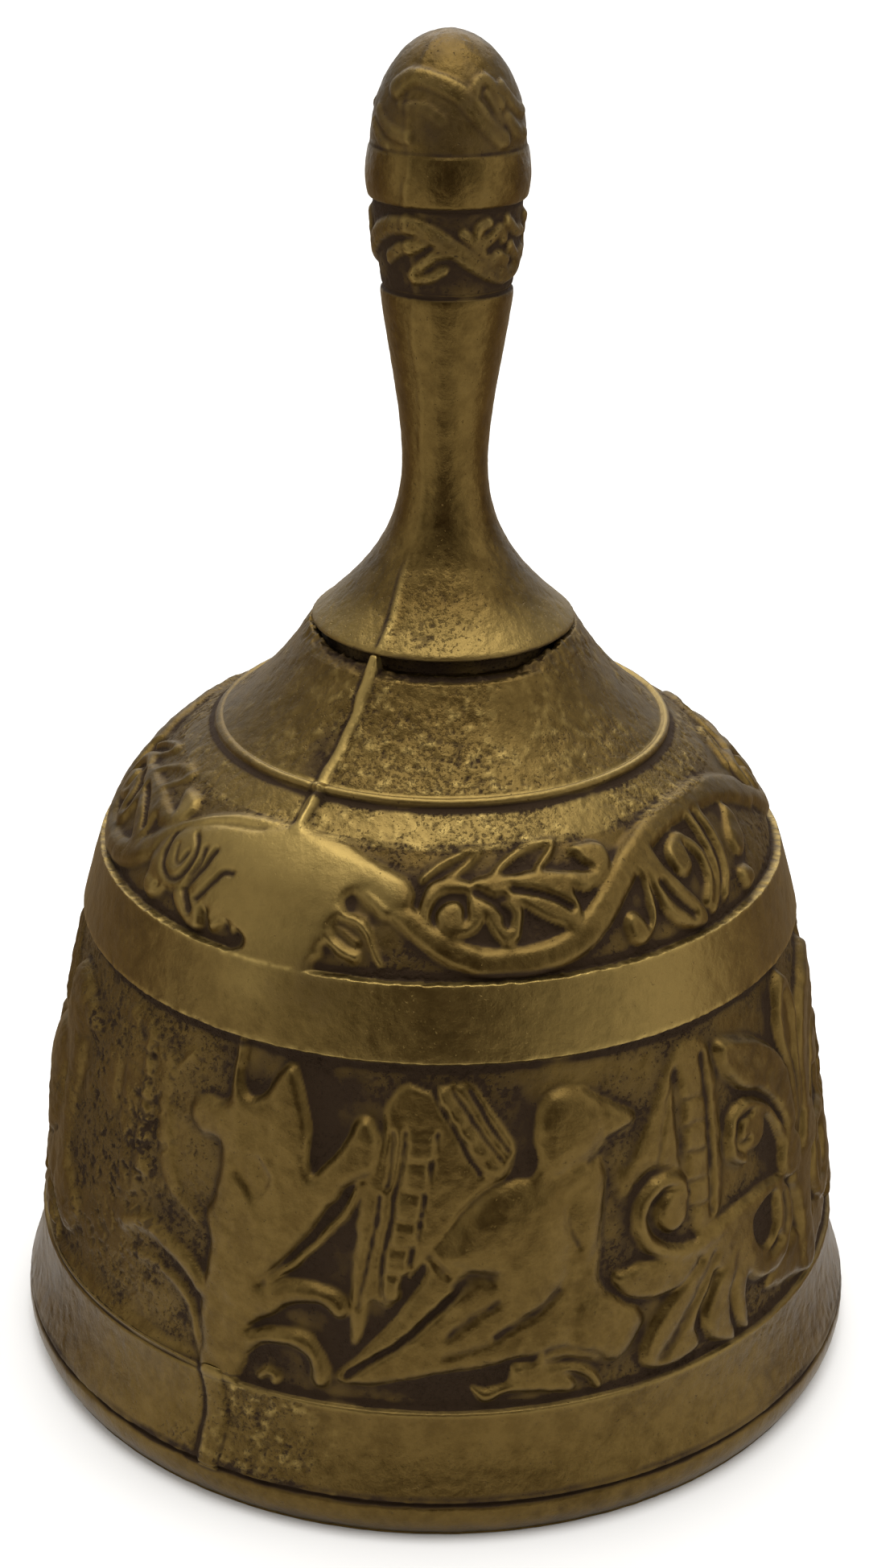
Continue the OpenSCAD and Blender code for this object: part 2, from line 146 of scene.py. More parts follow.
def reflector(name, colour, corners, faces):
    """A card that only shows as a reflection in the metal."""
    paper, tree = new_material(name + " paper")
    shader = add(tree, "ShaderNodeBsdfPrincipled", {"Base Color": linear(colour), "Roughness": 0.8,
                                                    "Specular IOR Level": 0.1})
    add(tree, "ShaderNodeOutputMaterial", {"Surface": shader})
    card = mesh_piece(name, corners, faces, paper)
    for sight in ("visible_camera", "visible_shadow", "visible_diffuse"):
        setattr(card, sight, False)


card_low = 0.0005
reflector("brown card", "#452815", [(-0.07, -0.21, card_low), (0.07, -0.21, card_low),
                                    (0.17, -0.44, card_low), (-0.17, -0.44, card_low)], [(0, 1, 2, 3)])
reflector("dark card", "#33190d", [(-0.17, -0.44, card_low), (0.17, -0.44, card_low),
                                   (0.2, -0.48, 0.42), (-0.2, -0.48, 0.42)], [(0, 1, 2, 3)])
on_floor = [(-0.9, -0.03), (-0.06, -0.03), (-0.06, 0.9), (-0.9, 0.9),
            (0.06, -0.03), (0.9, -0.03), (0.9, 0.9), (0.06, 0.9)]
upper = [(-0.9, -0.03), (-0.9, 0.9), (0.9, -0.03), (0.9, 0.9)]
reflector("sand card", "#8f7c60", [(x, y, card_low) for x, y in on_floor] + [(x, y, 0.3) for x, y in upper],
          [(0, 1, 2, 3), (4, 5, 6, 7), (0, 3, 9, 8), (5, 10, 11, 6)])

# Bell: one sand casting in brass, poured in a two-part mould, so a seam of flash runs up it.
# Its skin is drawn first as one sheet over the turned profile: rows go up it and columns go round it.
mm = 0.001
lip_groove, flare_top, band_bottom, scroll_bottom, bead_height, ceiling = 4.68, 15.2, 54.4, 62.8, 77.4, 82.2


def sweep(a, handle_a, handle_b, b, steps):
    """Points of a cubic curve, as radius and height."""
    t = np.linspace(0, 1, steps)[:, None]
    a, handle_a, handle_b, b = (np.array(p, float) for p in (a, handle_a, handle_b, b))
    return (1 - t) ** 3 * a + 3 * t * (1 - t) ** 2 * handle_a + 3 * t * t * (1 - t) * handle_b + t ** 3 * b


lip_turn = np.linspace(math.radians(-48), math.radians(12), 16)
lip_arc = np.stack([46.5 + 4.47 * np.cos(lip_turn), 3.36 + 4.5 * np.sin(lip_turn)], 1)
flare_sweep = sweep((50.86, 5.0), (49.9, 7.8), (48.75, 9.9), (48.72, 15.0), 40)
panel_sweep = sweep((47.8, 15.7), (45.61, 31.4), (43.84, 46.6), (38.7, 62.8), 240)
shoulder_sweep = sweep((38.7, 62.8), (37.24, 68.64), (31.54, 73.31), (25.7, 77.4), 120)[1:]
cone_sweep = sweep((25.7, 77.4), (21.5, 80.3), (18.2, 84.3), (16.4, 87.1), 80)[1:]
profile = np.concatenate([
    [(49.75, 0.0)], lip_arc[1:], [(50.62, 4.5), (50.35, lip_groove), (50.62, 4.85)], flare_sweep,
    [(48.62, flare_top), (48.2, 15.35)], panel_sweep, shoulder_sweep, cone_sweep,
    [(16.1, 87.2), (15.2, 87.22), (13.25, 87.2)]])


def near(field, middle, width, power=2):
    """1 at the middle, fading to either side; a higher power gives a flatter top."""
    return np.exp(-((field - middle) / width) ** power)


def turned(r, z, az):
    """Points in mm at radii r and heights z, turned to the azimuths az, counted from the front."""
    turn = np.radians(az)[None, :]
    return np.stack(np.broadcast_arrays(r * np.sin(turn), -r * np.cos(turn), z), -1)


def spaced_rows(profile, coarse, fine, edges, close=0.45):
    """Walks along a profile in coarse steps, and in fine ones close to the heights of its edges."""
    length = np.concatenate([[0], np.cumsum(np.hypot(*np.diff(profile, axis=0).T))])
    stops, here = [0.0], 0.0
    while here < length[-1]:
        height = np.interp(here, length, profile[:, 1])
        here += fine if min(abs(height - e) for e in edges) < close else coarse
        stops.append(min(here, length[-1]))
    return np.array(stops), *(np.interp(stops, length, profile[:, k]) for k in (0, 1))


def smooth_line(values, reach):
    kernel = np.hanning(2 * reach + 3)[1:-1]
    return np.convolve(np.pad(values, reach, mode="edge"), kernel / kernel.sum(), "valid")


class Skin:
    """The outside of a turned casting: rows up its profile, columns round it, and relief lifted off it."""

    def __init__(self, profile, columns, coarse, fine, edges):
        self.way, self.r, self.z = spaced_rows(profile, coarse, fine, edges)
        self.columns, self.step = columns, 360 / columns
        self.az = np.arange(columns) * self.step - 180
        along_r, along_z = np.gradient(smooth_line(self.r, 3)), np.gradient(smooth_line(self.z, 3))
        size = np.hypot(along_r, along_z)
        self.out_r, self.out_z = along_z / size, -along_r / size
        self.lift = np.zeros((len(self.z), columns))
        self.groove = np.zeros((len(self.z), columns))

    def points(self, lift):
        return turned(self.r[:, None] + lift * self.out_r[:, None],
                      self.z[:, None] + lift * self.out_z[:, None], self.az)

    def across(self, az):
        """Distance in mm of each point from a line up the skin at the azimuths az, one for each row."""
        gap = (self.az[None, :] - np.reshape(az, (-1, 1)) + 180) % 360 - 180
        return np.radians(gap) * self.r[:, None]


bell = Skin(profile, 1200, 0.26, 0.11,
            (0.2, lip_groove, flare_top, band_bottom, scroll_bottom, bead_height, 87.1))


def rounded(points, closed, per=6):
    """A flowing line through given points."""
    knots = np.array(points, float)
    count = len(knots)
    picked = []
    for first in range(count if closed else count - 1):
        around = [first - 1, first, first + 1, first + 2]
        a, b, c, d = knots[np.mod(around, count) if closed else np.clip(around, 0, count - 1)]
        for t in np.arange(per) / per:
            picked.append(0.5 * (2 * b + (c - a) * t + (2 * a - 5 * b + 4 * c - d) * t * t
                                 + (3 * b - a - 3 * c + d) * t ** 3))
    return np.array(picked if closed else picked + [knots[-1]])


def nearest(x, y, line, closed, reach):
    """How far each point of x, y lies inside a closed line (outside is negative), or from an open one."""
    low, high = line.min(0) - reach, line.max(0) + reach
    picked = (x > low[0]) & (x < high[0]) & (y > low[1]) & (y < high[1])
    px, py = x[picked], y[picked]
    best = np.full(px.shape, 1e9)
    inside = np.zeros(px.shape, bool)
    ends = np.roll(line, -1, 0) if closed else line[1:]
    for (ax, ay), (bx, by) in zip(line, ends):
        ex, ey = bx - ax, by - ay
        t = np.clip(((px - ax) * ex + (py - ay) * ey) / (ex * ex + ey * ey + 1e-12), 0, 1)
        best = np.minimum(best, (px - ax - t * ex) ** 2 + (py - ay - t * ey) ** 2)
        if closed:
            inside ^= ((ay > py) != (by > py)) & (px < ex * (py - ay) / (ey or 1e-12) + ax)
    gap = np.full(x.shape, -1e3 if closed else 1e3)
    gap[picked] = np.sqrt(best) * (np.where(inside, 1, -1) if closed else 1)
    return gap


def lattice_noise(points, cell, seed, octaves=1):
    """Smooth noise about 0.5, of blobs that are cell mm wide, with finer ones in them for more octaves."""
    size = 64
    lattice = np.random.default_rng(seed).random((size, size, size))
    tipped = points @ np.array(Euler((0.6, 0.9, 0.3)).to_matrix())
    total = 0
    for octave in range(octaves):
        at = tipped / (cell * 0.55 * 0.5 ** octave) + 500 + 7.3 * octave
        low = np.floor(at).astype(int)
        part = at - low
        part = part ** 3 * (part * (part * 6 - 15) + 10)
        for corner in np.ndindex(2, 2, 2):
            weight = 0.5 ** octave
            for axis, pick in enumerate(corner):
                weight = weight * (part[..., axis] if pick else 1 - part[..., axis])
            knot = tuple((low[..., k] + corner[k]) % size for k in range(3))
            total = total + weight * (lattice[knot] - 0.5)
    return 0.5 + 1.15 * total


class Tile:
    """One motif of the relief, worked on a patch of the skin and then set in at several azimuths."""

    def __init__(self, skin, mid, reach, low, high, waver=0.2):
        self.skin, self.mid, self.steps = skin, mid, int(reach / skin.step)
        self.rows = np.flatnonzero((skin.z >= low) & (skin.z <= high))
        self.turns = np.arange(-self.steps, self.steps + 1) * skin.step
        self.x = np.radians(self.turns)[None, :] * skin.r[self.rows][:, None]
        self.y = np.repeat(skin.way[self.rows][:, None], len(self.turns), 1)
        self.lift = np.zeros(self.x.shape)
        self.groove = np.zeros(self.x.shape)
        # The sand let the edges run a little, so no line is quite true.
        flat_sheet = np.stack([self.x, self.y, np.zeros(self.x.shape)], -1)
        self.x = self.x + waver * (lattice_noise(flat_sheet, 2.6, 5, 2) - 0.5)
        self.y = self.y + waver * (lattice_noise(flat_sheet, 2.6, 6, 2) - 0.5)

    def flat(self, points, mirror=1):
        az, z = np.array(points, float).T
        return np.stack([np.radians(mirror * (az - self.mid)) * np.interp(z, self.skin.z, self.skin.r),
                         np.interp(z, self.skin.z, self.skin.way)], 1)

    def gap(self, points, mirror, closed, reach):
        return nearest(self.x, self.y, rounded(self.flat(points, mirror), closed), closed, reach)

    def lay(self, height, part):
        """Lays a form with a rounded shoulder over what is there and fills the grooves under it."""
        form = height * np.sqrt(1 - (1 - np.clip(part, 0, 1)) ** 2)
        self.groove = np.where(form > self.lift + 0.02, 0, self.groove)
        self.lift = np.maximum(self.lift, form)

    def shape(self, points, height, edge, mirror=1):
        """A raised form inside an outline, with a shoulder that is edge wide."""
        self.lay(height, (self.gap(points, mirror, True, 0.5) + 0.12) / edge)

    def bar(self, points, width, height, mirror=1):
        """A raised bar laid along a line."""
        self.lay(height, (width / 2 - self.gap(points, mirror, False, width)) / (0.36 * width))

    def cut(self, points, width, depth, mirror=1):
        """A groove along a line, in what is raised."""
        gap = self.gap(points, mirror, False, 2.5 * width)
        self.groove = np.maximum(self.groove, depth * near(gap, 0, width / 2) * np.clip(self.lift * 4, 0, 1))

    def sink(self, points, edge, mirror=1, keep=0.0):
        """A pocket in a raised form, down to the part of its height that keep gives."""
        t = np.clip((self.gap(points, mirror, True, 0.5) + 0.1) / edge, 0, 1)
        self.lift = self.lift * (1 - (1 - keep) * t * t * (3 - 2 * t))

    def swell(self, az, z, wide, tall, height):
        """A soft mound on what is already raised, or a soft hollow in it."""
        x, y = self.flat([(az, z)])[0]
        self.lift = self.lift + (height * near(self.x, x, wide) * near(self.y, y, tall)
                           * np.clip(self.lift * 2.5, 0, 1))

    def set_in(self, turns, cover=None):
        """Sets the motif into the skin; a cover drowns what is already there."""
        for turn in turns:
            first = int(round((self.mid + turn + 180) / self.skin.step)) - self.steps
            cols = np.arange(first, first + len(self.turns)) % self.skin.columns
            patch = np.ix_(self.rows, cols)
            under, lines = self.skin.lift[patch], self.skin.groove[patch]
            if cover is None:
                self.skin.lift[patch] = np.maximum(under, self.lift)
                bare_lines = np.where(self.lift > under + 0.02, 0, lines)
                self.skin.groove[patch] = np.maximum(bare_lines, self.groove)
            else:
                self.skin.lift[patch] = under * (1 - cover) + self.lift * cover
                self.skin.groove[patch] = lines * (1 - cover) + self.groove * cover


# Palmette: the acanthus palmette between the figures, four times round.
# Its lines give degrees from its middle and heights in mm; one half is drawn and turned over for the other.
def whole(half):
    return half + [(-a, z) for a, z in reversed(half)]


palmette = Tile(bell, 0, 42, 15.3, 54.2)
for side in (1, -1):
    for outline, high, edge in (
            ([(1, 16), (6, 17), (10, 17.6), (13, 18.8), (10, 20.6), (6, 21.6), (3, 22)], 0.6, 1.1),
            ([(7, 30.7), (12, 31.4), (18, 31.3), (24, 30.5), (28, 29.7), (26, 27.4), (23.5, 25), (20, 23.5),
             (16, 22.6), (12, 23), (9, 24.5), (7, 27)], 0.9, 0.8),
            ([(18, 26), (17.3, 22.5), (14.5, 20.6), (10.5, 20.3), (7.5, 21.2), (6, 22.7), (7, 24.2),
             (10, 22.9), (13, 23.1), (15.4, 25), (16.3, 27)], 1.0, 0.9)):
        palmette.shape(outline, high, edge, side)
    palmette.bar([(23, 29.6), (28, 29), (32, 29.8), (35, 31.6), (36.2, 34.5), (35, 36.8), (32.4, 38),
        (29.6, 37.6), (28.3, 36)], 1.9, 1.0, side)
    palmette.shape([(28.2, 34.5), (28.6, 36.2), (30.5, 36.9), (32.6, 36.2), (33.4, 34.6), (32.8, 32.8),
        (31, 32), (29, 32.7)], 1.05, 0.9, side)
    palmette.cut([(27.4, 30.2), (27.4, 33), (27.6, 36.8)], 0.7, 0.8, side)
    palmette.shape([(26.5, 28.2), (31, 29), (36, 29.4), (40.6, 28.8), (39.2, 26.4), (36, 25.2), (32, 25),
        (28.5, 26)], 0.85, 0.8, side)
    palmette.shape([(36.8, 17.6), (35.5, 21), (32, 24), (28, 26.5), (23, 28), (23.8, 25.5), (25.7, 22.8),
        (27.9, 19.8), (27.4, 17.3), (29.5, 16.4), (34, 16.3)], 0.85, 0.8, side)
    palmette.cut([(23.8, 27.2), (28.2, 22.8), (31.3, 19.8), (34, 17.6)], 1.1, 0.35, side)
    palmette.shape([(19.5, 27), (23.2, 24.8), (25.8, 22), (26.8, 19.6), (25.4, 17.2), (22, 15.6),
        (20.7, 15.6), (21.4, 18.5), (21.4, 21.5), (19.8, 24.5)], 1.05, 0.9, side)
    palmette.shape([(17.5, 26.5), (20.1, 24.6), (20.9, 21.5), (20.4, 18), (18.4, 15.7), (17.6, 16.2),
        (18, 19.5), (17.2, 22.4), (15.6, 24.6)], 0.95, 1.0, side)
    palmette.sink([(15.6, 27.6), (14.2, 29.4), (11, 30), (9.2, 29.6), (9.4, 26.5), (10.6, 24.4), (12.8, 23.7),
        (14.8, 25)], 0.5, side)
    palmette.shape([(9.4, 28.6), (9.5, 25), (8.4, 23), (6.2, 22.8), (5, 24.5), (5, 27.6), (6.2, 29.6),
        (8.2, 29.8)], 1.0, 0.8, side)
    palmette.cut([(7.4, 28.6), (7.2, 26), (7.8, 24)], 1.0, 0.35, side)
    palmette.shape([(7.2, 31.2), (7, 33.6), (5.4, 36.3), (3.2, 35.8), (1, 33.8), (0.5, 31.5), (2, 29.8),
        (5.2, 29.6)], 1.15, 1.0, side)
    palmette.shape([(16.6, 41.2), (17.6, 39), (16.4, 37), (13.6, 36.4), (11, 37.5), (10.7, 39.6), (12, 41.2),
        (14.5, 41.8)], 0.85, 0.9, side)
    palmette.bar([(5.6, 34.4), (7, 37), (9, 39.4), (12, 41.3), (15.4, 42.3), (18, 41.4), (19, 39.4),
        (18.4, 37.3), (16.4, 36.2)], 1.6, 1.0, side)
    palmette.cut([(14, 41.1), (16.4, 40.8), (17.2, 39.4), (16.6, 38.1), (15.2, 38.3)], 0.55, 0.7, side)
    palmette.shape([(20, 50.4), (19.8, 48.7), (18, 46.2), (15, 44.1), (11.4, 42.8), (8.2, 40.7), (6, 38),
        (4.6, 35.4), (2, 35.5), (2.1, 40), (3.2, 43.4), (6.4, 46.5), (10.6, 48.8), (15.2, 50.3),
        (18.4, 50.9)], 1.15, 0.9, side)
    palmette.cut([(19.3, 46.8), (17.6, 45.4), (14.8, 43.5), (11.2, 42.2), (8, 40),
        (6.1, 37.4)], 0.45, 0.9, side)
    palmette.cut([(17.5, 48.6), (13, 46.5), (9, 43.8), (6, 40.8)], 1.6, 0.16, side)
palmette.shape(whole([(0.2, 15.4), (2.2, 16), (2.8, 19), (2.4, 23), (3.2, 27), (4.4, 29), (3, 31),
    (0.2, 31.5)]), 1.0, 1.1)
palmette.shape(whole([(0.2, 33), (1.8, 37), (2.2, 41), (3.2, 44.5), (3.8, 47.5), (3.2, 50.5), (1.8, 52.4),
    (0.2, 53.2)]), 1.15, 1.0)
palmette.sink(whole([(0.1, 40.5), (1.4, 42.5), (2.5, 45.5), (2.6, 48.5), (1.4, 50.8),
    (0.1, 51.4)]), 1.1, 1, 0.45)
palmette.cut([(0, 34), (0, 38), (0, 42)], 1.0, 0.4)
palmette.set_in([65, 152, 238])

# Seam palmette: the same motif where the mould's halves met, flooded and blurred on its left by the flash.
# Left of it the panel is worn, with only traces of a leaf and of a wing's ladder.
seam_palmette = Tile(bell, -30, 24, 15.2, 54.5)
seam_palmette.shape([(-32.4, 15), (-32.6, 19), (-33.2, 23), (-32.6, 27.5), (-32.3, 31), (-33.2, 34),
    (-32, 36.5), (-31.8, 42.2), (-35.5, 42.6), (-37.6, 44), (-37.2, 46), (-34.5, 46.8), (-31.4, 47.2),
    (-30.8, 49), (-30.7, 54.4), (-29.4, 54.4), (-29.5, 50.4), (-28, 48.5), (-25.8, 48.8), (-24, 50.8),
    (-22.3, 52.5), (-20.6, 52.4), (-19.2, 50), (-18, 47), (-17.7, 41.6), (-15, 43.2), (-12.6, 45.9),
    (-11.2, 48), (-9.5, 48.1), (-8, 46), (-8.4, 42.8), (-10.4, 41.8), (-13, 40), (-16.5, 36), (-20, 32),
    (-23.7, 27.9), (-20.5, 28.9), (-17, 29.2), (-14, 28.8), (-12, 27.6), (-11.6, 26.2), (-12.8, 25.4),
    (-14.3, 26.3), (-16, 26.9), (-19, 26.3), (-22, 24.6), (-25.2, 22.2), (-21.5, 22.9), (-18, 23.2),
    (-15.8, 22.4), (-14.3, 20.5), (-13.8, 18.2), (-14.3, 17.1), (-15.9, 17.2), (-16.2, 19), (-17.2, 20.5),
    (-20, 21.3), (-23, 20.7), (-25.3, 19), (-26.2, 17), (-27.4, 15)], 1.05, 1.4)
for line, wide, high in (
        ([(-22.9, 28.2), (-19, 31.2), (-15, 34.9), (-12, 38), (-10.4, 41.3)], 0.8, 0.7),
        ([(-23.5, 16.6), (-22.4, 17.6), (-21, 17.2), (-21.5, 16.4)], 1.0, 0.6),
        ([(-49.5, 27.4), (-47, 28.6), (-44, 29), (-40, 28.2), (-36, 26.9), (-33, 25)], 2.3, 1.0),
        ([(-47, 24.5), (-42, 24.9), (-38, 24), (-35, 22), (-33.6, 19), (-32.5, 16)], 1.3, 0.5),
        ([(-43.8, 48.5), (-43.4, 43), (-42, 38), (-40, 35)], 2.6, 0.5),
        ([(-48.4, 51), (-47.6, 44), (-46.6, 35)], 2.0, 1.0)):
    seam_palmette.bar(line, wide, high)
for level in (48.4, 45.8, 43.2, 40.6, 38):
    seam_palmette.cut([(-49.6, level), (-46, level - 0.4)], 0.6, 1.0)
for line, wide, high in (
        ([(-59, 43.4), (-57.2, 46.6), (-55, 49.8), (-52.8, 51.8)], 1.0, 0.8),
        ([(-52, 43.5), (-52.4, 39.5), (-50.6, 37)], 1.2, 0.6),
        ([(-46.8, 50.6), (-45.4, 48), (-44.6, 44)], 1.3, 0.4),
        ([(-42.2, 47), (-40.4, 49.3), (-38.4, 50.8)], 0.7, 0.45),
        ([(-41, 36), (-38, 33.5), (-35.5, 32.5)], 1.3, 0.35),
        ([(-39.8, 24.6), (-38, 24.2), (-36.4, 23.6)], 0.6, 0.75)):
    seam_palmette.bar(line, wide, high)
seam_palmette.shape([(-49.5, 15.8), (-48.5, 17), (-47, 16.9), (-46.3, 15.9), (-48, 15.5)], 0.6, 1.0)
seam_palmette.cut([(-18.2, 29.2), (-20.8, 27.6)], 0.4, 0.12)
seam_palmette.sink([(-29, 40), (-26.5, 42.3), (-24.2, 41.7), (-23, 39.6), (-25.3, 37.2),
    (-27.5, 38.6)], 0.5, 1, 0.7)
seam_palmette.set_in([0])

# Eagle: the figure between two palmettes, with half-spread wings and a fanned tail.
# Its lines give degrees right of the bell's front and heights in mm; three more stand round the bell,
# each about a quarter turn on.
eagle = Tile(bell, 16, 30, 15.3, 54.2)
eagle.shape([(-10.9, 22.8), (-9.6, 23.6), (-8.8, 27.5), (-7.6, 28), (-6, 27.2), (-4.4, 29.5), (-1.8, 32.5),
    (0.5, 35), (3, 38), (6, 40.5), (9.5, 42), (10.6, 43.5), (10.9, 45.5), (9.2, 48), (6.5, 51), (4.6, 52.4),
    (1, 52.2), (-1, 51.6), (-4.5, 52.2), (-7, 50), (-7.3, 46), (-8.1, 44), (-9.8, 41.8), (-10.6, 36),
    (-11.1, 29)], 0.55, 0.8)
for line, wide, deep in (
        ([(-6.2, 47), (-6.2, 43.5), (-6.6, 41)], 0.5, 0.5),
        ([(-7.6, 40), (-8.3, 36), (-9.3, 31), (-10.2, 27)], 0.5, 0.45),
        ([(-4.3, 47.2), (-4.6, 44), (-5.6, 40.5), (-6.1, 37), (-6.9, 33.5), (-7.2, 30),
         (-7.1, 28.6)], 0.45, 0.5),
        ([(0.2, 47), (-0.6, 43.8), (-1.6, 40.4), (-2.2, 37), (-3, 34), (-3.9, 31), (-4.8, 28.8)], 0.5, 0.5),
        ([(-0.3, 51.6), (1, 49.4), (2.6, 47.2), (4.2, 44.8), (6, 42.6)], 0.5, 0.5),
        ([(4.6, 51.8), (6.4, 49.6), (8.2, 47.2), (10, 44.8)], 0.5, 0.5),
        ([(2.2, 51.8), (4.4, 49.2), (6.8, 46.4), (9, 44)], 0.4, 0.4)):
    eagle.cut(line, wide, deep)


def cushion(az, z, wide, tall, lean):
    """One cell of a wing's ladder, wide in degrees, tall in mm; its right end lies lean mm lower."""
    corners = [(-0.5, -0.5), (0, -0.56), (0.5, -0.5), (0.56, 0), (0.5, 0.5), (0, 0.56), (-0.5, 0.5),
               (-0.56, 0)]
    eagle.shape([(az + wide * right, z + tall * up - lean * right) for right, up in corners], 0.85, 0.45)


for cell in [(-2.1, 45.6, 3.6, 2.5, 0), (-2.7, 42.1, 3.1, 2.6, 0.2), (-3.7, 38.8, 3.1, 2.5, 0.1),
             (-4.1, 35.7, 3.1, 2.3, 0), (-5.1, 32.7, 2.9, 2.3, 0.1), (-5.8, 29.7, 2.1, 2.6, 0.1),
             (1.5, 50.4, 2.0, 1.4, 1.2), (2.9, 48.6, 2.3, 1.5, 1.2), (4.4, 46.7, 2.3, 1.5, 1.2),
             (6, 44.9, 2.3, 1.5, 1.2), (7.8, 43.2, 2.6, 1.5, 1)]:
    cushion(*cell)
eagle.shape([(24.8, 39.5), (27, 40.8), (30, 44), (33, 47.6), (36, 51), (38.5, 52.4), (42.5, 52.2), (44.6, 49),
    (44.9, 42), (44.4, 35), (42.8, 31.2), (39, 30), (38, 33), (37.9, 36.6), (36, 38.8), (32, 39.8),
    (29, 38.8), (26.5, 37.2)], 0.45, 1.6)
eagle.sink([(36.3, 49.5), (37.6, 50.2), (38.1, 46), (38, 40), (37.8, 33.5), (36.7, 33), (36.2, 39),
    (36.1, 45)], 0.4)
eagle.cut([(42.2, 50.4), (42.5, 45), (42.3, 40), (42, 35), (41.7, 32)], 0.7, 0.5)
for level in (46, 43, 39.9, 36.6, 33.5):
    eagle.cut([(38.2, level + 0.15), (42.2, level - 0.15)], 0.45, 0.4)
eagle.cut([(27.3, 41), (30.3, 44.8), (33.3, 48.8), (35, 51)], 0.7, 0.2)
eagle.cut([(32.6, 40), (33.6, 43.5), (35.3, 47), (36.8, 49.3)], 0.6, 0.18)
eagle.shape([(-0.6, 34), (-1.3, 31), (-4, 27.5), (-8, 23.3), (-11.5, 19.8), (-12.9, 18.3), (-9, 18),
    (-4, 18.9), (1, 19.8), (6, 20.4), (9.5, 21), (14, 22), (17, 25), (15, 31), (8, 34)], 0.85, 1.4)
eagle.shape([(14.2, 44), (14.2, 47.5), (15.2, 49.8), (18, 50.8), (21.5, 50.5), (24.3, 49.2), (27, 48.1),
    (29.4, 46.5), (28.3, 45.1), (25, 44.6), (23.8, 43.2), (24.2, 40), (24.4, 36.5), (23.4, 32.5),
    (22.4, 29.4), (23.8, 27.2), (26.5, 25.2), (28.9, 23.2), (27.5, 20.6), (25.3, 18.9), (22, 19.3),
    (18, 20.5), (14.5, 20.3), (11, 21.5), (8, 24), (5.5, 27.5), (3, 30.5), (0.3, 32.3), (-0.8, 34), (1.5, 36),
    (4, 38.5), (6.5, 40.4), (10, 41.6), (13, 41.8)], 0.75, 1.5)
eagle.swell(23.4, 36.5, 1.9, 5.5, -0.6)
for outline, high, edge in (
        ([(0.2, 33), (2.6, 36.6), (5.6, 39.6), (9.5, 41.4), (13.5, 41.5), (16.8, 40), (18.6, 36.5),
         (18.6, 32.5), (17.2, 28.5), (14.5, 26), (11, 26), (8.2, 29.5), (4.4, 31.2)], 1.45, 4.6),
        ([(14.2, 43), (14.1, 47.5), (15.3, 49.9), (18.5, 50.8), (22.2, 50.2), (24.8, 48.3), (24.4, 45.6),
         (22.6, 43.4), (18.5, 41.6), (15.5, 41.5)], 1.3, 3.4),
        ([(22.5, 48.2), (25.5, 48.5), (28.2, 47.5), (29.3, 46.4), (27.6, 45.3), (24, 45.2)], 1.1, 1.8),
        ([(17, 42.5), (20.5, 43.5), (23.8, 41.5), (23.4, 37), (22.4, 32.5), (19.6, 30), (18.2, 34),
         (18.2, 38.5)], 0.95, 2.4),
        ([(18.5, 26.5), (22, 27.6), (25.5, 26), (28.6, 23.6), (27.2, 20.8), (25, 19), (21, 19.8),
         (18, 22)], 1.05, 2.2),
        ([(9, 26), (13, 27), (17.5, 26), (18.6, 22.5), (16, 20.4), (11.5, 21.6)], 0.95, 2.2)):
    eagle.shape(outline, high, edge)
for line, wide, deep in (
        ([(-11.6, 18.7), (-9.6, 20.2), (-5, 23), (0, 27), (3.4, 29.9)], 0.7, 0.9),
        ([(3.2, 30), (5.2, 31.2), (7.6, 31)], 1.5, 0.7),
        ([(-0.6, 33.4), (0.6, 32.4), (1.8, 31.4)], 0.9, 0.4),
        ([(1.8, 24.3), (4.5, 26.1), (8.3, 28.2)], 0.8, 0.35),
        ([(8, 24.1), (11, 25.5), (14.5, 27.3), (16.6, 28.8)], 0.9, 0.4),
        ([(1.2, 22), (4, 22.6), (7, 23.4)], 0.7, 0.2),
        ([(18.2, 38), (18.4, 35.5), (19.6, 33.4)], 0.7, 0.25),
        ([(12, 20.8), (16, 21.9), (20, 21), (22.6, 19.6)], 0.8, 0.3)):
    eagle.cut(line, wide, deep)
eagle.shape([(4.6, 18.3), (6, 16.4), (7.6, 16.5), (9.5, 17.2), (14, 17), (18.2, 16.3), (18.6, 17.6), (17, 19),
    (14.6, 20.3), (10.4, 20.6), (9.6, 18.6), (6.5, 17.9)], 0.8, 0.9)
eagle.bar([(15.4, 19.6), (18.3, 19.2), (20.6, 18.1), (21.9, 16.4)], 1.0, 0.8)
eagle.bar([(14.6, 22.8), (13.9, 20.6), (14.6, 18.8)], 1.1, 0.9)
eagle.cut([(24.2, 43.6), (21.5, 42.6)], 0.8, 0.3)
eagle.cut([(24.4, 44.8), (28.4, 45.7)], 0.5, 0.4)
eagle.set_in([0, 92, 180, -91])

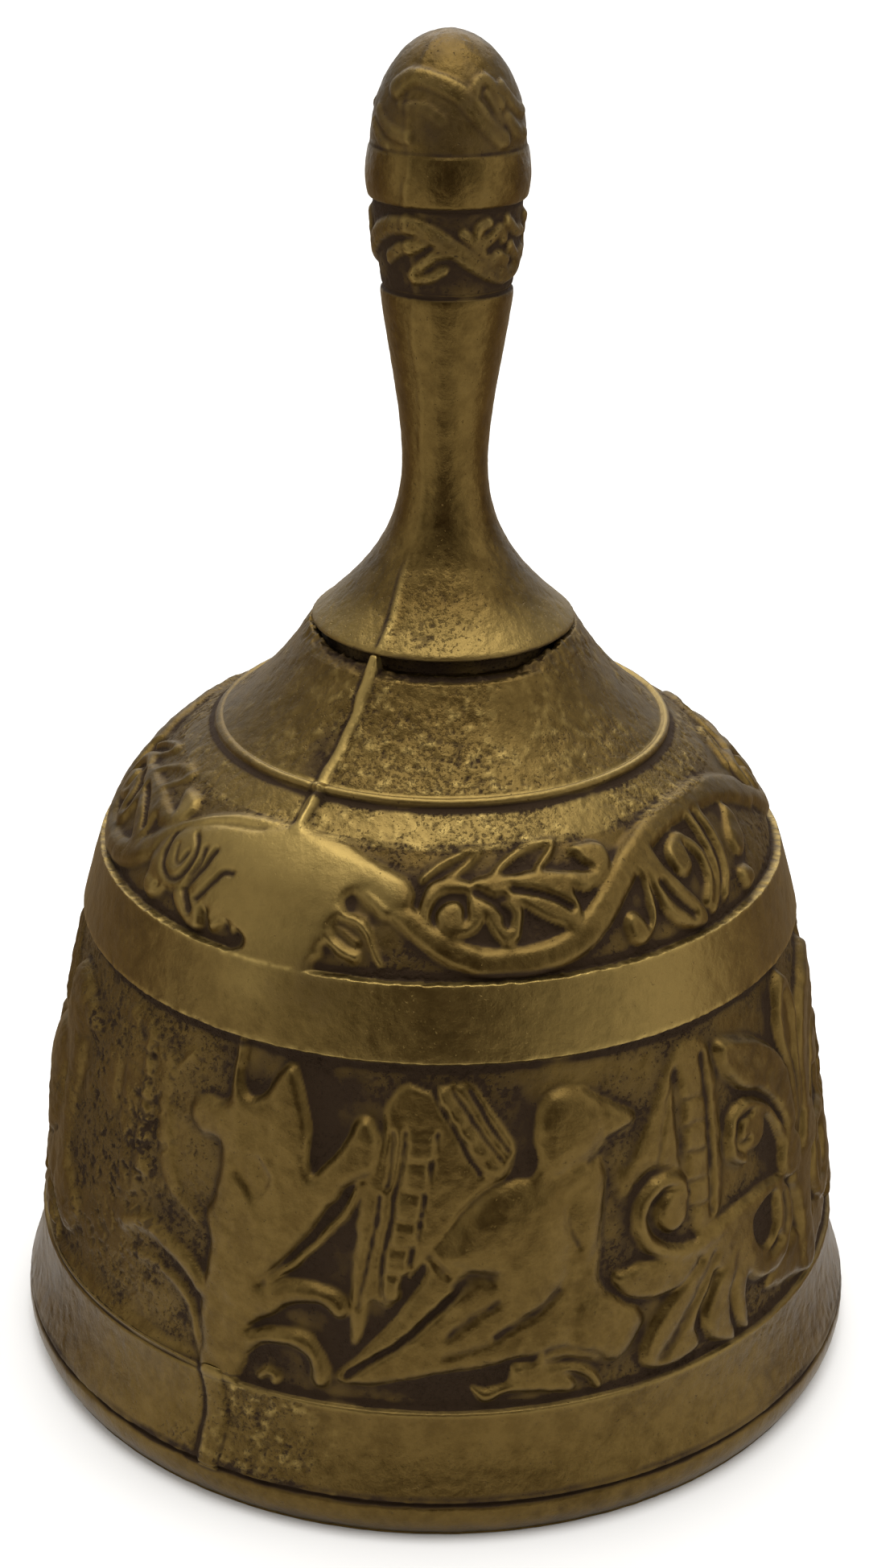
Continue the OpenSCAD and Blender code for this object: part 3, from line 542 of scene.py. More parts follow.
# Scroll: the vine that waves round the shoulder, with a spray of leaves in each trough and under each crest.
# It comes four times, drawn from its trough at 12 degrees to the crest at 57.
scroll = Tile(bell, 32, 50, 62.9, 76, 0.1)
half_wave = [(12, 64.5), (16, 64.6), (20, 65.2), (24, 66.3), (28, 67.9), (32, 69.6), (36, 71), (40, 72),
             (44, 72.7), (48, 73.1), (52.5, 73.35), (57, 73.4)]
vine_line = ([(24 - a, z) for a, z in reversed(half_wave[1:])] + half_wave
             + [(114 - a, z) for a, z in reversed(half_wave[:-1])])
scroll.bar([p for p in vine_line if -20 < p[0] < 84], 3.3, 1.0)
for outline, high, edge in (
        ([(-0.7, 69), (-0.2, 67.9), (1.5, 67.1), (4, 67), (6.5, 67.8), (8, 69.3), (7.2, 70.8), (5, 71.4),
         (4.8, 70), (4.5, 68.7), (3.7, 68.2), (3.8, 69.4), (2.8, 70), (1, 69.9)], 1.0, 0.65),
        ([(-3.4, 69), (-3, 70.4), (-1.5, 71.4), (1.5, 71.8), (5, 71.5), (4.8, 70.7), (2, 70.7), (-0.4, 70.3),
         (-1.7, 69), (-1.6, 68)], 0.9, 0.55),
        ([(0.6, 68.6), (1, 69.6), (2.3, 69.8), (3.4, 69.2), (3.5, 68.2), (2, 67.8)], 1.0, 0.65)):
    scroll.shape(outline, high, edge)
for line, wide, high in (
        ([(-3.4, 71.6), (-1, 72.6), (2, 73.3), (5, 73.8), (7.6, 73.9)], 0.7, 0.75),
        ([(7.6, 73.8), (5.5, 73), (3, 72.2), (1, 71.8)], 0.6, 0.6),
        ([(9.6, 71.9), (12, 72.8), (15.5, 73.6), (19, 74), (22.8, 74)], 0.75, 0.85),
        ([(22.8, 73.9), (20.8, 73), (18, 72.1)], 0.7, 0.85)):
    scroll.bar(line, wide, high)
scroll.shape([(3, 70.8), (8, 71.9), (13, 71.9), (18, 72), (23, 71.6), (28.6, 71.3), (27.2, 72), (26.2, 72.8),
    (25.2, 73), (26.5, 73.4), (30, 73.4), (32.4, 73), (33, 72), (31.6, 70.9), (29, 70.1), (26, 69.8),
    (23.4, 70.2), (18, 70.7), (12, 71), (7, 70.8)], 1.0, 0.65)
scroll.shape([(4.8, 71.2), (6.6, 69.6), (8.2, 67.6), (9.8, 66.3), (11.8, 66.2), (13.3, 67.4), (13.9, 69.2),
    (13.2, 70.8), (10.5, 71.4)], 1.0, 0.6)
scroll.cut([(6.4, 70.6), (9, 69.9), (10.9, 68.9), (11, 68)], 1.0, 0.8)
scroll.cut([(8.4, 69.9), (10.8, 70)], 0.8, 0.6)
scroll.shape([(11.5, 70.9), (14, 69.4), (17, 68.3), (20.5, 67.2), (22.8, 66.9), (24, 68.2), (23.8, 69.6),
    (23, 70.8), (17, 71.2)], 1.0, 0.6)
scroll.cut([(12.9, 70.7), (17, 70.2), (20.2, 69.5), (22.4, 68.7)], 0.7, 0.85)
scroll.shape([(38.6, 71), (38.3, 68.5), (37.8, 66.4), (36.5, 65), (35, 64.2), (33.3, 64), (31.9, 64.8),
    (31.5, 66.2), (32.4, 67), (34, 66.9), (35.1, 66), (35.4, 65.2), (36.3, 65.8), (36.8, 67.2), (37.6, 69.5),
    (36.2, 70.6)], 1.0, 0.65)
scroll.shape([(37.8, 71.6), (38.7, 69), (39.2, 66.8), (40.5, 65.4), (43, 64.2), (46, 63.5), (48, 63.5),
    (48.5, 64.4), (47.3, 66.2), (45, 68.2), (43, 70.2), (42, 71.8)], 1.0, 0.6)
scroll.cut([(40.9, 68.6), (42.4, 66.8), (45.3, 65)], 0.7, 0.75)
scroll.shape([(45.2, 69.2), (45.1, 70.4), (46.2, 71.3), (48.2, 71.5), (50, 71), (49.8, 69.8), (49.4, 68.8),
    (47.8, 68.4), (46.2, 68.5)], 1.05, 0.65)
for line, wide, high in (
        ([(47.5, 71.2), (50.3, 71.4), (52.4, 70.3), (53, 68.8), (52, 67), (50, 65.4)], 1.5, 0.9),
        ([(56.4, 72.3), (56, 70), (54.8, 67.6), (52.6, 65.6), (50.8, 64.6)], 1.3, 0.9),
        ([(60, 72.2), (59.4, 69.6), (57.4, 67), (55, 65.2)], 1.5, 0.85)):
    scroll.bar(line, wide, high)
scroll.shape([(60.5, 65.6), (61.5, 66.2), (63.4, 66.2), (65, 65.6), (65.2, 64.6), (63.8, 63.9),
    (61.6, 64)], 1.0, 1.0)
scroll.shape([(66, 70.2), (63.4, 69), (63, 67.6), (65, 67), (68, 68), (70, 70), (69, 71.4)], 0.85, 0.8)
scroll.set_in([0, 90, 180, -90])

# Flooded patch: metal that ran out of the mould's joint and hides the scrollwork left of the front.
# Curls show through it at its left, and a few leaf tips stand clear of it at its right.
flood = Tile(bell, -36, 34, 60.5, 78)
flood.shape([(-30.8, 77.2), (-30.9, 75.4), (-32, 74.4), (-34.5, 73.9), (-38, 73.5), (-44, 73), (-50, 72.2),
    (-55, 71.1), (-59, 69.2), (-59.5, 66.6), (-56, 65.7), (-51, 65.6), (-48, 66.3), (-45.5, 66.3),
    (-43, 65.6), (-38, 65.4), (-34, 65), (-32.4, 64.2), (-32.2, 62.5), (-30, 61), (-21, 61.3), (-20.4, 63.6),
    (-18.6, 64.4), (-18.8, 65.4), (-17, 66.2), (-17.6, 67.4), (-15.8, 68.4), (-16.4, 69.6), (-13, 70.4),
    (-8, 69), (-5, 69.3), (-4.3, 70.4), (-5.5, 71.6), (-10, 72.5), (-17, 73.2), (-22, 73.8), (-27, 74.4),
    (-28.6, 75.2), (-29.1, 77.2)], 1.0, 1.4)
for line, wide, deep in (
        ([(-56.5, 70.2), (-56, 68.6), (-54.5, 67.3), (-52, 66.7), (-49.6, 67.1), (-48.3, 68.5), (-48.9, 70.2),
         (-51, 71)], 0.6, 0.5),
        ([(-53.5, 69.4), (-52.4, 68.4), (-50.8, 68.4), (-50.2, 69.4)], 0.5, 0.35),
        ([(-56.8, 70), (-54, 71.6), (-48, 72.5), (-42, 73), (-37, 73.4)], 0.45, 0.35),
        ([(-44, 70.6), (-45.2, 68.6), (-47.4, 66.4)], 0.6, 0.5),
        ([(-38.4, 69.4), (-40.6, 69), (-42.2, 67.4), (-44.8, 65.8)], 0.55, 0.5),
        ([(-46.6, 70.4), (-46.2, 69), (-47, 67.8)], 0.6, 0.4)):
    flood.cut(line, wide, deep)
flood.set_in([0], np.clip(flood.lift / 0.9, 0, 1))
remains = Tile(bell, -14, 20, 63, 75)
for line, wide, high in (
        ([(-20, 69.8), (-18, 69.1), (-16, 68.3), (-13.6, 67.9), (-11.6, 67)], 1.0, 0.9),
        ([(-20.6, 67.2), (-17.5, 66), (-15.4, 65.2), (-13, 64.7)], 1.1, 0.9),
        ([(-12.5, 68), (-11.4, 66.6), (-10, 65), (-9, 64.2)], 0.7, 0.6),
        ([(-17.5, 67.4), (-14.5, 66.5), (-13, 66)], 0.6, 0.4)):
    remains.bar(line, wide, high)
remains.set_in([0])

# Band, bead and seam: the plain band under the scrollwork, the bead over it, and flash of the mould's joint.
# The band is bare metal, and handling has worn the relief flat at the left of the front.
skin_z = bell.z[:, None]
az_field = np.broadcast_to(bell.az[None, :], bell.lift.shape)


def soften(field, rows_reach, columns_reach):
    """Blurs a field over the skin; its columns run on round the bell."""
    for axis, reach in ((0, rows_reach), (1, columns_reach)):
        weights = np.hanning(2 * reach + 3)[1:-1]
        weights /= weights.sum()
        mixed = np.zeros_like(field)
        for shift, weight in zip(range(-reach, reach + 1), weights):
            if axis:
                mixed += weight * np.roll(field, shift, 1)
            else:
                mixed += weight * field[np.clip(np.arange(len(field)) + shift, 0, len(field) - 1)]
        field = mixed
    return field


def within(low, high):
    return (skin_z > low) & (skin_z < high)


def ramp(field, start, end):
    """Runs from 0 at start to 1 at end."""
    return np.clip((field - start) / (end - start), 0, 1)


def ridge(off, half, power=2):
    """The round back of a bar: 1 on its middle line and 0 where it ends, half off it."""
    return np.sqrt(np.clip(1 - (off / half) ** power, 0, 1))


panel_foot, panel_head, scroll_foot, scroll_head, strip_top, cone_foot = 15.4, 54.2, 63, 74.4, 76.8, 77.9
worn_left = near(az_field, -51, 16.5, 4) * ramp(skin_z, 56, 53)
blurred = soften(bell.lift, 4, 4)
bell.lift = soften(bell.lift, 2, 2) * np.where(skin_z < 58, 1.18, 0.95)
bell.groove = soften(bell.groove, 1, 1) * (1 - 0.6 * worn_left)
spill_left = -32.2 - 1.7 * np.clip(skin_z - 64.1, -1.6, 1.6) ** 2
run_over = 1 / (1 + np.exp((spill_left - az_field) / 0.5)) / (1 + np.exp((az_field + 20.4) / 0.6))
run_over = run_over * ramp(skin_z, 66.5, 65) * ramp(skin_z, 61, 62)
worn_top = near(az_field, -69, 15, 4) * ramp(skin_z, 65, 68) * ramp(skin_z, strip_top, strip_top - 1)
worn_left = worn_left + worn_top
flush = near(az_field, -52, 19.5, 8) * ramp(skin_z, 17.3, 15.7) * (skin_z > 15.25)
bell.lift = bell.lift * (1 - 0.75 * worn_left) + 0.55 * blurred * 0.75 * worn_left
edge_waver = 0.16 * (lattice_noise(bell.points(bell.lift), 1.5, 16, 2) - 0.5)
band_rise = (ramp(skin_z - 0.6 * edge_waver, panel_head, panel_head + 0.42)
             * ramp(skin_z - edge_waver, scroll_bottom + 0.14, scroll_bottom - 0.18))
bell.lift = np.maximum(np.maximum(bell.lift, 1.08 * band_rise), 0.75 * flush)
bell.lift = bell.lift * (1 - run_over) + 1.1 * run_over
from_bead = (bell.way - np.interp(bead_height, bell.z, bell.way))[:, None]
bead_left = 1 - 0.62 * near(az_field, -84, 36, 4)
bell.lift = bell.lift + bead_left * (0.5 * ridge(from_bead, 0.52) - 0.2 * near(from_bead, -0.8, 0.25))

seams = ((-30, 1.0), (150, 0.7))
low_part = skin_z < 30
wander = (0.5 * np.sin(bell.z * 0.23) + 0.3 * np.sin(bell.z * 0.61 + 1)
          + 0.25 * np.sin(bell.z * 1.9) * (bell.z > 30))
seam_side, bridged, flash = (np.zeros_like(bell.lift) for _ in range(3))
low_seam = ramp(skin_z, 4.2, 4.4) * ramp(skin_z, 15.9, 15.3)
seam_wide = np.where(low_part, 1.4, np.where(skin_z < 77.5, 0.85, 0.7)) + 0.06 * np.sin(bell.z * 0.9)[:, None]
for seam_az, strength in seams:
    from_seam = bell.across(seam_az + wander * 0.9)
    show = strength * (low_seam + ramp(skin_z, 73.5, 75))
    bell.lift += 0.34 * show * ridge(from_seam, seam_wide, np.where(low_part, 4, 2))
    beside = near(from_seam, -seam_wide - 0.2, np.where(low_part, 0.4, 0.26))
    seam_side = np.maximum(seam_side, show * (beside + 0.25 * near(from_seam, seam_wide + 0.12, 0.25)))
    bridged = np.maximum(bridged, low_seam * near(from_seam, 0, 1.9, 4))
    flash = np.maximum(flash, show * (skin_z > 60) * np.clip(1.2 - (from_seam / seam_wide) ** 2, 0, 1))
seam_side = seam_side * np.where(low_part, 1, 0.6)
bell.lift -= 0.16 * seam_side

# Gap under the handle's foot: run metal fills it behind and at the right, and flash bridges it in front.
land = (ramp(bell.r, 16.35, 15.2) * ramp(bell.r, 13.9, 14.4))[:, None]
filled_az, filled = zip(*(
    (-180, 0.8), (-120, 0.9), (-85, 0.9), (-62, 0.5), (-40, 0.3), (-33, 0.35), (-31.6, 1), (-28.4, 1),
    (-27, 0.1), (-10, 0), (20, 0), (32, 0.1), (48, 0.6), (66, 1), (148, 1), (152, 1), (156, 0.5), (180, 0.8)))
fill = np.interp(bell.az, filled_az, filled)[None, :]
crumbs = lattice_noise(bell.points(bell.lift), 1.5, 14, 2)
fill = np.clip(fill + 0.3 * (crumbs - 0.6) * (fill < 0.95), 0, 1)
bell.lift += 1.75 * land * fill

# Where dirt lies and shade is painted: in what is low beside a form, in the relief's deep pockets and along
# the bands' edges, partly dirt and partly painted shade, and a painted shadow in the gap under the handle's
# foot.
relief = np.maximum(bell.lift - bell.groove, np.minimum(bell.lift, 0))
hollow = soften(relief, 4, 5) - relief
# Dark lines at the foot of every form are painted shade, with dirt.
crease = (1.5 * np.clip(soften(relief, 3, 3) - relief - 0.02, 0, 1)
          + 0.8 * np.clip(soften(relief, 8, 9) - relief - 0.15, 0, 1))
# Dark pockets in the ground beside the figures are painted shade, with dirt.
pocket = sum(deep * near(az_field, az, wide) * near(skin_z, z, tall) for az, z, wide, tall, deep in (
    (-14, 30, 12, 18, 0.55), (-17, 49, 6, 5, 0.5), (12.6, 47, 2.6, 5, 0.6), (2.5, 37, 3.5, 7, 0.5),
    (4, 18, 7, 2.5, 0.5), (56, 36, 2.4, 4.5, 1.0), (53, 27, 3, 3, 0.6), (61, 48, 2, 4.5, 1.0),
    (27.3, 35, 1.6, 3.5, 0.4), (-28, 52, 5, 2.5, 0.3), (-42, 31.8, 5, 1.8, 0.35)))
raised = np.clip(relief / 0.4, 0, 1)
figured = within(panel_foot, panel_head) | within(scroll_foot, scroll_head)
near_relief = soften(soften(raised, 10, 10), 6, 6)
# Dark lines along the bands' edges and in the lip's groove are partly dirt, partly painted shade.
edge_lines = sum(deep * near(skin_z, level, reach) for level, reach, deep in (
    (lip_groove, 0.28, 1), (15.7, 0.4, 0.9), (53.85, 0.4, 0.9), (63.35, 0.4, 0.9), (strip_top, 0.26, 1),
    (5.5, 0.3, 0.35)))
edge_lines = edge_lines * (1 - 0.75 * near(az_field, -64, 31, 6) * within(12, 20))
# Painted shadow in the open gap under the handle's foot, where no metal fills it.
edge_lines = edge_lines * (1 - bridged) + land * (1 - fill) * (skin_z > 87)
skin_points = bell.points(relief)
blotch = lattice_noise(skin_points, 9.0, 11, 3)
speckle = lattice_noise(skin_points, 1.6, 12, 2)
ripple = lattice_noise(skin_points, 3.2, 13, 2)
pitting = lattice_noise(skin_points, 1.1, 15, 2)

# Where the cast skin is rough: beside the seam, on the cone, on the strip over the scrollwork, in the ground.
beside_seam = near(az_field, -22, 9) * within(5.2, 15)
flooded = ((np.abs(az_field + 34) < 27) & within(62, 74.5) & (relief > 0.6)) | (run_over > 0.4)
flooded = soften(flooded.astype(float), 6, 6)
off_flash = 1 - 0.8 * np.clip(flash, 0, 1)
rough_cone = ((skin_z > cone_foot) * (0.4 + 0.6 * near(az_field, -16, 22))
              * (1 - 0.75 * near(az_field, -66, 33, 6)))
rough_strip = within(73.6, strip_top) * (1 - 0.65 * near(az_field, -66, 32, 6))
bell_sand = (0.9 * beside_seam + rough_cone + 0.7 * rough_strip + 0.1 * within(5.2, 15)
             + 0.5 * figured * (1 - raised) + 0.15
             + 0.45 * within(panel_foot, panel_head) * near(az_field, -66, 24))
bell_sand = np.clip(bell_sand * (0.25 + 1.4 * blotch), 0, 1) * (1 - 0.85 * flooded) * off_flash
nicks = ramp(pitting, 0.33, 0.21) * np.clip(bell_sand * 1.5 - 0.35, 0, 1)
holes = ramp(speckle, 0.255, 0.185) * near(az_field, -54, 13, 4) * near(skin_z, 35, 17, 6)
crumbled = (near(skin_z, 4.85, 0.5) * np.clip(1.5 * ripple - 0.2, 0, 1) * (1 - bridged)
            * (0.35 + 0.65 * near(az_field, -28, 24)))
swelling = (0.1 * (0.3 + bell_sand) + 0.07 * figured * (raised > 0.5)) * (1 - 0.8 * flooded) * off_flash
bell.lift = (relief - 0.22 * crumbled - 0.07 * nicks - 0.15 * holes
             + 0.08 * (speckle - 0.5) * (0.2 + bell_sand) + 0.06 * (pitting - 0.5) * bell_sand
             + swelling * (ripple - 0.5))

seam_corner = near(az_field, -35.5, 3.6) * ramp(skin_z, 83.5, 79.5) * (skin_z > cone_foot)
# The ground is darker close to the relief, and darker still among the scroll's crowded leaves: painted shade,
# with dirt.
crowded = 0.35 * near_relief + 1.3 * near_relief ** 2 * (skin_z > 62) * ramp(skin_z, 73.6, 71.6)
# The grime mark holds dirt and painted shade together: the nicks, holes, crumbled groove and the stain at the
# seam's corner are dirt; the creases, grooves, edge lines and the line beside the seam are partly painted
# shade.
bell_grime_and_shade = (figured * (1 - raised) * (0.2 + crowded + 1.1 * pocket) * (1 - 0.4 * worn_left) + 1.3 * crease
              + bell.groove * (0.4 + 1.2 * speckle) + edge_lines * (1 - run_over) + 0.8 * seam_side
              + 0.3 * nicks + 0.55 * seam_corner + 0.9 * crumbled + 0.6 * holes)
bell_grime_and_shade = (np.clip(bell_grime_and_shade * (0.5 + blotch), 0, 1) * (1 - 0.8 * flooded)
              + np.clip(2 * bell.groove, 0, 0.9) * flooded
              + 0.22 * near(az_field, -19, 8) * near(skin_z, 61.5, 4) * (relief > 0.6))

# Where it is lighter: rubbed by hands on raised edges, the flood, the bead, the flash and the flare's top
# edge; painted highlights on the flood's upper part, the front of the cone's foot and of the strip over the
# scrollwork, the band's edges and its right side, and painted glints in the rough skin.
bell_rub_and_highlight = (
    np.where(skin_z < 58, 0.5, 1.2) * np.clip(-hollow - 0.03, 0, 1) * (0.4 + blotch)
    # The flood is worn smooth, and a painted highlight brightens it towards its top.
    + (0.3 * ramp(skin_z, 61, 65) + 0.5 * ramp(skin_z, 69, 73)) * flooded
    # Painted highlight on the front of the cone's foot.
    + 0.12 * (skin_z > 78) * ramp(skin_z, 84, 80) * near(az_field, 2, 34)
    # Painted highlight on the front of the strip over the scrollwork; the bead's crest is rubbed.
    + 0.4 * within(74, strip_top) * near(az_field, 5, 50) + 0.8 * bead_left ** 2 * near(skin_z, 77.6, 0.25)
    # Painted highlights along the band's top and bottom edges.
    + 0.9 * speckle * near(skin_z, 62.7, 0.25) + 0.7 * speckle * near(skin_z, 54.75, 0.3)
    # Painted light on the band, stronger right of the front.
    + (0.06 + 0.28 * near(az_field, 34, 28)) * within(54.5, 62.7)
    + 0.25 * near(az_field, -30, 5) * near(skin_z, 60.5, 2.5)
    + 0.7 * flash + 0.3 * near(skin_z, 15.1, 0.3) * (1 - 0.8 * near(az_field, -52, 20, 8))
    # Painted glints: bright specks in the rough skin over the scrollwork and beside the seam.
    + 1.6 * np.clip(speckle - 0.62, 0, 1) * bell_sand * ((skin_z > 74) | (beside_seam > 0.3)))
bell_finish_and_light = bell_grime_and_shade, np.clip(bell_rub_and_highlight, 0, 1), bell_sand


# Casting: the finished skin and the wall behind it, made into closed meshes in metres.
# Each mesh carries its grime and painted shade, its rub and painted highlights, and its sand as attributes,
# which the brass reads.
def outward(points):
    """Normals of a sheet whose rows run up a casting and whose columns run round it."""
    normals = np.cross(np.roll(points, -1, 1) - np.roll(points, 1, 1), np.gradient(points, axis=0))
    return normals / np.linalg.norm(normals, axis=2, keepdims=True)


sheet_points = bell.points(bell.lift)
sheet_normals = outward(sheet_points)


def cast_mesh(name, sheets, material, round_rows, round_columns, cap_rows=False):
    """A closed casting from sheets in mm, laid end to end; each is its points, its normals (0 leaves them to
    Blender) and its grime with painted shade, its rub with painted highlights, and its sand."""
    points, normals = (np.concatenate([np.broadcast_to(sheet[k], sheet[0].shape) for sheet in sheets])
                       for k in (0, 1))
    rows, columns = points.shape[:2]
    grid = np.arange(rows * columns).reshape(rows, columns)
    around = np.pad(grid, ((0, int(round_rows)), (0, int(round_columns))), mode="wrap")
    quads = np.stack([around[:-1, :-1], around[:-1, 1:], around[1:, 1:], around[1:, :-1]], -1).reshape(-1, 4)
    ends = []
    if not round_columns:
        ends = [grid[:, 0], grid[::-1, -1]]
    if cap_rows:
        ends = [grid[0, ::-1], grid[-1]]
    corners = np.concatenate([quads.ravel(), *ends])
    totals = np.concatenate([np.full(len(quads), 4), [len(e) for e in ends]]).astype(int)
    mesh = bpy.data.meshes.new(name)
    mesh.vertices.add(rows * columns)
    mesh.vertices.foreach_set("co", (points * mm).ravel())
    mesh.loops.add(len(corners))
    mesh.loops.foreach_set("vertex_index", corners.astype(np.int32))
    mesh.polygons.add(len(totals))
    mesh.polygons.foreach_set("loop_start", (np.cumsum(totals) - totals).astype(np.int32))
    mesh.polygons.foreach_set("use_smooth", np.ones(len(totals), bool))
    mesh.update(calc_edges=True)
    mesh.validate()
    for k, label in enumerate(("grime_and_shade", "rub", "sand")):
        values = np.concatenate([np.broadcast_to(sheet[2][k], sheet[0].shape[:2]) for sheet in sheets])
        field = mesh.attributes.new(label, "FLOAT", "POINT")
        field.data.foreach_set("value", values.astype(np.float32).ravel())
    mesh.set_sharp_from_angle(angle=math.radians(60))
    mesh.normals_split_custom_set_from_vertices(normals.reshape(-1, 3))
    return new_piece(name, mesh, material)


# Aged brass: sand-cast brass, darkened olive by decades of handling, rubbed bright on what stands proud.
# Brown grime and painted shade lie in the hollows, and the cast skin is finely pitted, so its shine is soft.
def aged_brass(name, low_shine, high_shine):
    material, tree = new_material(name)
    here = add(tree, "ShaderNodeTexCoord", out="Object")
    grime_and_shade, rub, sand = (add(tree, "ShaderNodeAttribute", out="Fac", attribute_name=label)
                        for label in ("grime_and_shade", "rub", "sand"))
    # Clouds of patina 13 mm across, and mottling of 2.4 mm where the metal was handled.
    # The sand's grain is drawn at 0.43 mm, coarser than the real one, so that it shows.
    cloud, mottle, grain = (
        add(tree, "ShaderNodeTexNoise", {"Vector": here, "Scale": 1 / (width * mm), "Detail": detail,
                                         "Roughness": broken})
        for width, detail, broken in ((13.3333, 4.0, 0.6), (2.38095, 6.0, 0.7), (0.434783, 2.0, 0.6)))
    patina = add(tree, "ShaderNodeMix", {"Factor": cloud, "A": linear("#3b2d16"), "B": linear("#645029")},
                 data_type="RGBA")
    worn = add(tree, "ShaderNodeMapRange", {"Value": mottle, "From Min": 0.38, "From Max": 0.72})
    metal = add(tree, "ShaderNodeMix", {"Factor": worn, "A": patina, "B": linear("#6a562e")},
                data_type="RGBA")
    # The rub mark brightens the metal where it is worn, and on the bell also where a highlight is painted.
    bright = add(tree, "ShaderNodeMix", {"Factor": rub, "A": metal, "B": linear("#9a834c")},
                 data_type="RGBA")
    # Pits in the sand-cast skin: dark specks that thin out where the skin is smooth.
    pit_edge = add(tree, "ShaderNodeMapRange", {"Value": sand, "To Min": 0.26, "To Max": 0.44})
    pit_gap = add(tree, "ShaderNodeMath", {0: pit_edge, 1: grain}, operation="SUBTRACT")
    pits = add(tree, "ShaderNodeMapRange", {"Value": pit_gap, "From Min": -0.02, "From Max": 0.07})
    # The grime mark darkens it to brown with dirt and with painted shade, as do the pits.
    pit_dirt_and_shade = add(tree, "ShaderNodeMath", {0: pits, 1: 0.3, 2: grime_and_shade}, operation="MULTIPLY_ADD")
    dirt_edge = add(tree, "ShaderNodeMath", {0: mottle, 1: 0.5}, operation="SUBTRACT")
    dirt_and_shade = add(tree, "ShaderNodeMath", {0: dirt_edge, 1: 0.9, 2: pit_dirt_and_shade}, operation="MULTIPLY_ADD")
    cover = add(tree, "ShaderNodeMapRange", {"Value": dirt_and_shade, "From Min": 0.1, "From Max": 0.72,
                                             "To Max": 0.95})
    colour = add(tree, "ShaderNodeMix", {"Factor": cover, "A": bright, "B": linear("#2f2217")},
                 data_type="RGBA")
    metallic = add(tree, "ShaderNodeMapRange", {"Value": cover, "To Min": 1.0, "To Max": 0.55})
    shine = add(tree, "ShaderNodeMapRange", {"Value": mottle, "To Min": low_shine, "To Max": high_shine})
    dull = add(tree, "ShaderNodeMath", {0: sand, 1: 0.1, 2: shine}, operation="MULTIPLY_ADD")
    roughness = add(tree, "ShaderNodeMix", {"Factor": cover, "A": dull, "B": 0.75})
    pit_depth = add(tree, "ShaderNodeMath", {0: pits, 1: -0.7, 2: mottle}, operation="MULTIPLY_ADD")
    grit = add(tree, "ShaderNodeMath", {0: grain, 1: sand, 2: pit_depth}, operation="MULTIPLY_ADD")
    bump = add(tree, "ShaderNodeBump", {"Height": grit, "Strength": 0.6, "Distance": 0.2 * mm})
    shader = add(tree, "ShaderNodeBsdfPrincipled", {"Base Color": colour, "Metallic": metallic,
                                                    "Roughness": roughness, "Normal": bump,
                                                    "Specular IOR Level": 0.15})
    add(tree, "ShaderNodeOutputMaterial", {"Surface": shader})
    return material


bell_brass = aged_brass("sand-cast aged brass", 0.3, 0.48)

# Inside wall: the side that the sand core gave the casting, plain, rough and evenly dirty.
# Each slice of the bell takes the part behind it, so that every slice is a closed solid.
inner_profile = np.array([
    (46.4, 0), (46.4, 1.84), (45.2, 4.6), (43.8, 19.5), (42.4, 30), (40.8, 40), (38.8, 50), (36.1, 60),
    (34.2, 65), (29.9, 70), (23.4, 75), (20.6, 77.4), (17.0, 81.2), (16.2, ceiling)])


def wall_rows(low, high, pitch):
    """Radii and heights of the inside wall, from high down to low."""
    z = np.linspace(high, low, max(3, int((high - low) / pitch)))
    return np.interp(z, inner_profile[:, 1], inner_profile[:, 0]), z


def slice_of_bell(name, first, last, low_az, high_az, inside=None, every=1):
    """One slice of the casting between two rows of the skin, closed by the inside wall behind it."""
    full = high_az - low_az >= 360
    ends = [int(round((az + 180) / bell.step)) for az in (low_az, high_az)]
    cols = np.arange(ends[0], ends[1] + (0 if full else 1), every) % bell.columns
    pick = np.ix_(np.arange(first, last + 1), cols)
    r, z = wall_rows(bell.z[first], bell.z[last], 1.7) if inside is None else np.array(inside, float).T
    inner = turned(r[:, None], z[:, None], bell.az[cols])
    cast_skin = ((z > 1) & (z < 80))[:, None, None]
    inner += 0.14 * (lattice_noise(inner, 1.6, 21) - 0.5)[..., None] * (inner / 50) * cast_skin
    stain = lattice_noise(inner, 5.0, 22)
    outer_sheet = sheet_points[pick], sheet_normals[pick], [field[pick] for field in bell_finish_and_light]
    inner_sheet = inner, 0, (0.35 + 0.5 * stain, 0, 0.8)
    piece = cast_mesh(name, [outer_sheet, inner_sheet], bell_brass, True, full)
    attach(piece, "bell")
    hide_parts("bell_body")


lip_row, foot_row, band_row, scroll_row, bead_row = (
    int(np.argmin(np.abs(bell.z - height))) for height in (lip_groove, 15.45, 54.25, 63.1, 76.9))
slice_of_bell("bell_lip", 0, lip_row, -180, 180)
slice_of_bell("bell_flare", lip_row, foot_row, -180, 180)
for name, low_az in (("right", 45), ("front", -45), ("left", -135), ("back", 135)):
    slice_of_bell("bell_panel_" + name, foot_row, band_row, low_az, low_az + 90)
slice_of_bell("bell_band", band_row, scroll_row, -180, 180)
for name, low_az in (("right", 0), ("left", -180)):
    slice_of_bell("bell_shoulder_" + name, scroll_row, bead_row, low_az, low_az + 180)
stud_hole, chamfer = 3.15, 0.2
crown_inside = [(13.2, 87.2), (13, 87.3), (13, 89.18), (8, 89.18), (stud_hole + chamfer, 89.18),
                (stud_hole, 89), (stud_hole, 82.4), (stud_hole + chamfer, ceiling), (9, ceiling),
                (15.4, ceiling)]
crown_inside += list(zip(*wall_rows(bell.z[bead_row], 82.1, 0.8)))
slice_of_bell("bell_crown", bead_row, len(bell.z) - 1, -180, 180, crown_inside, 2)

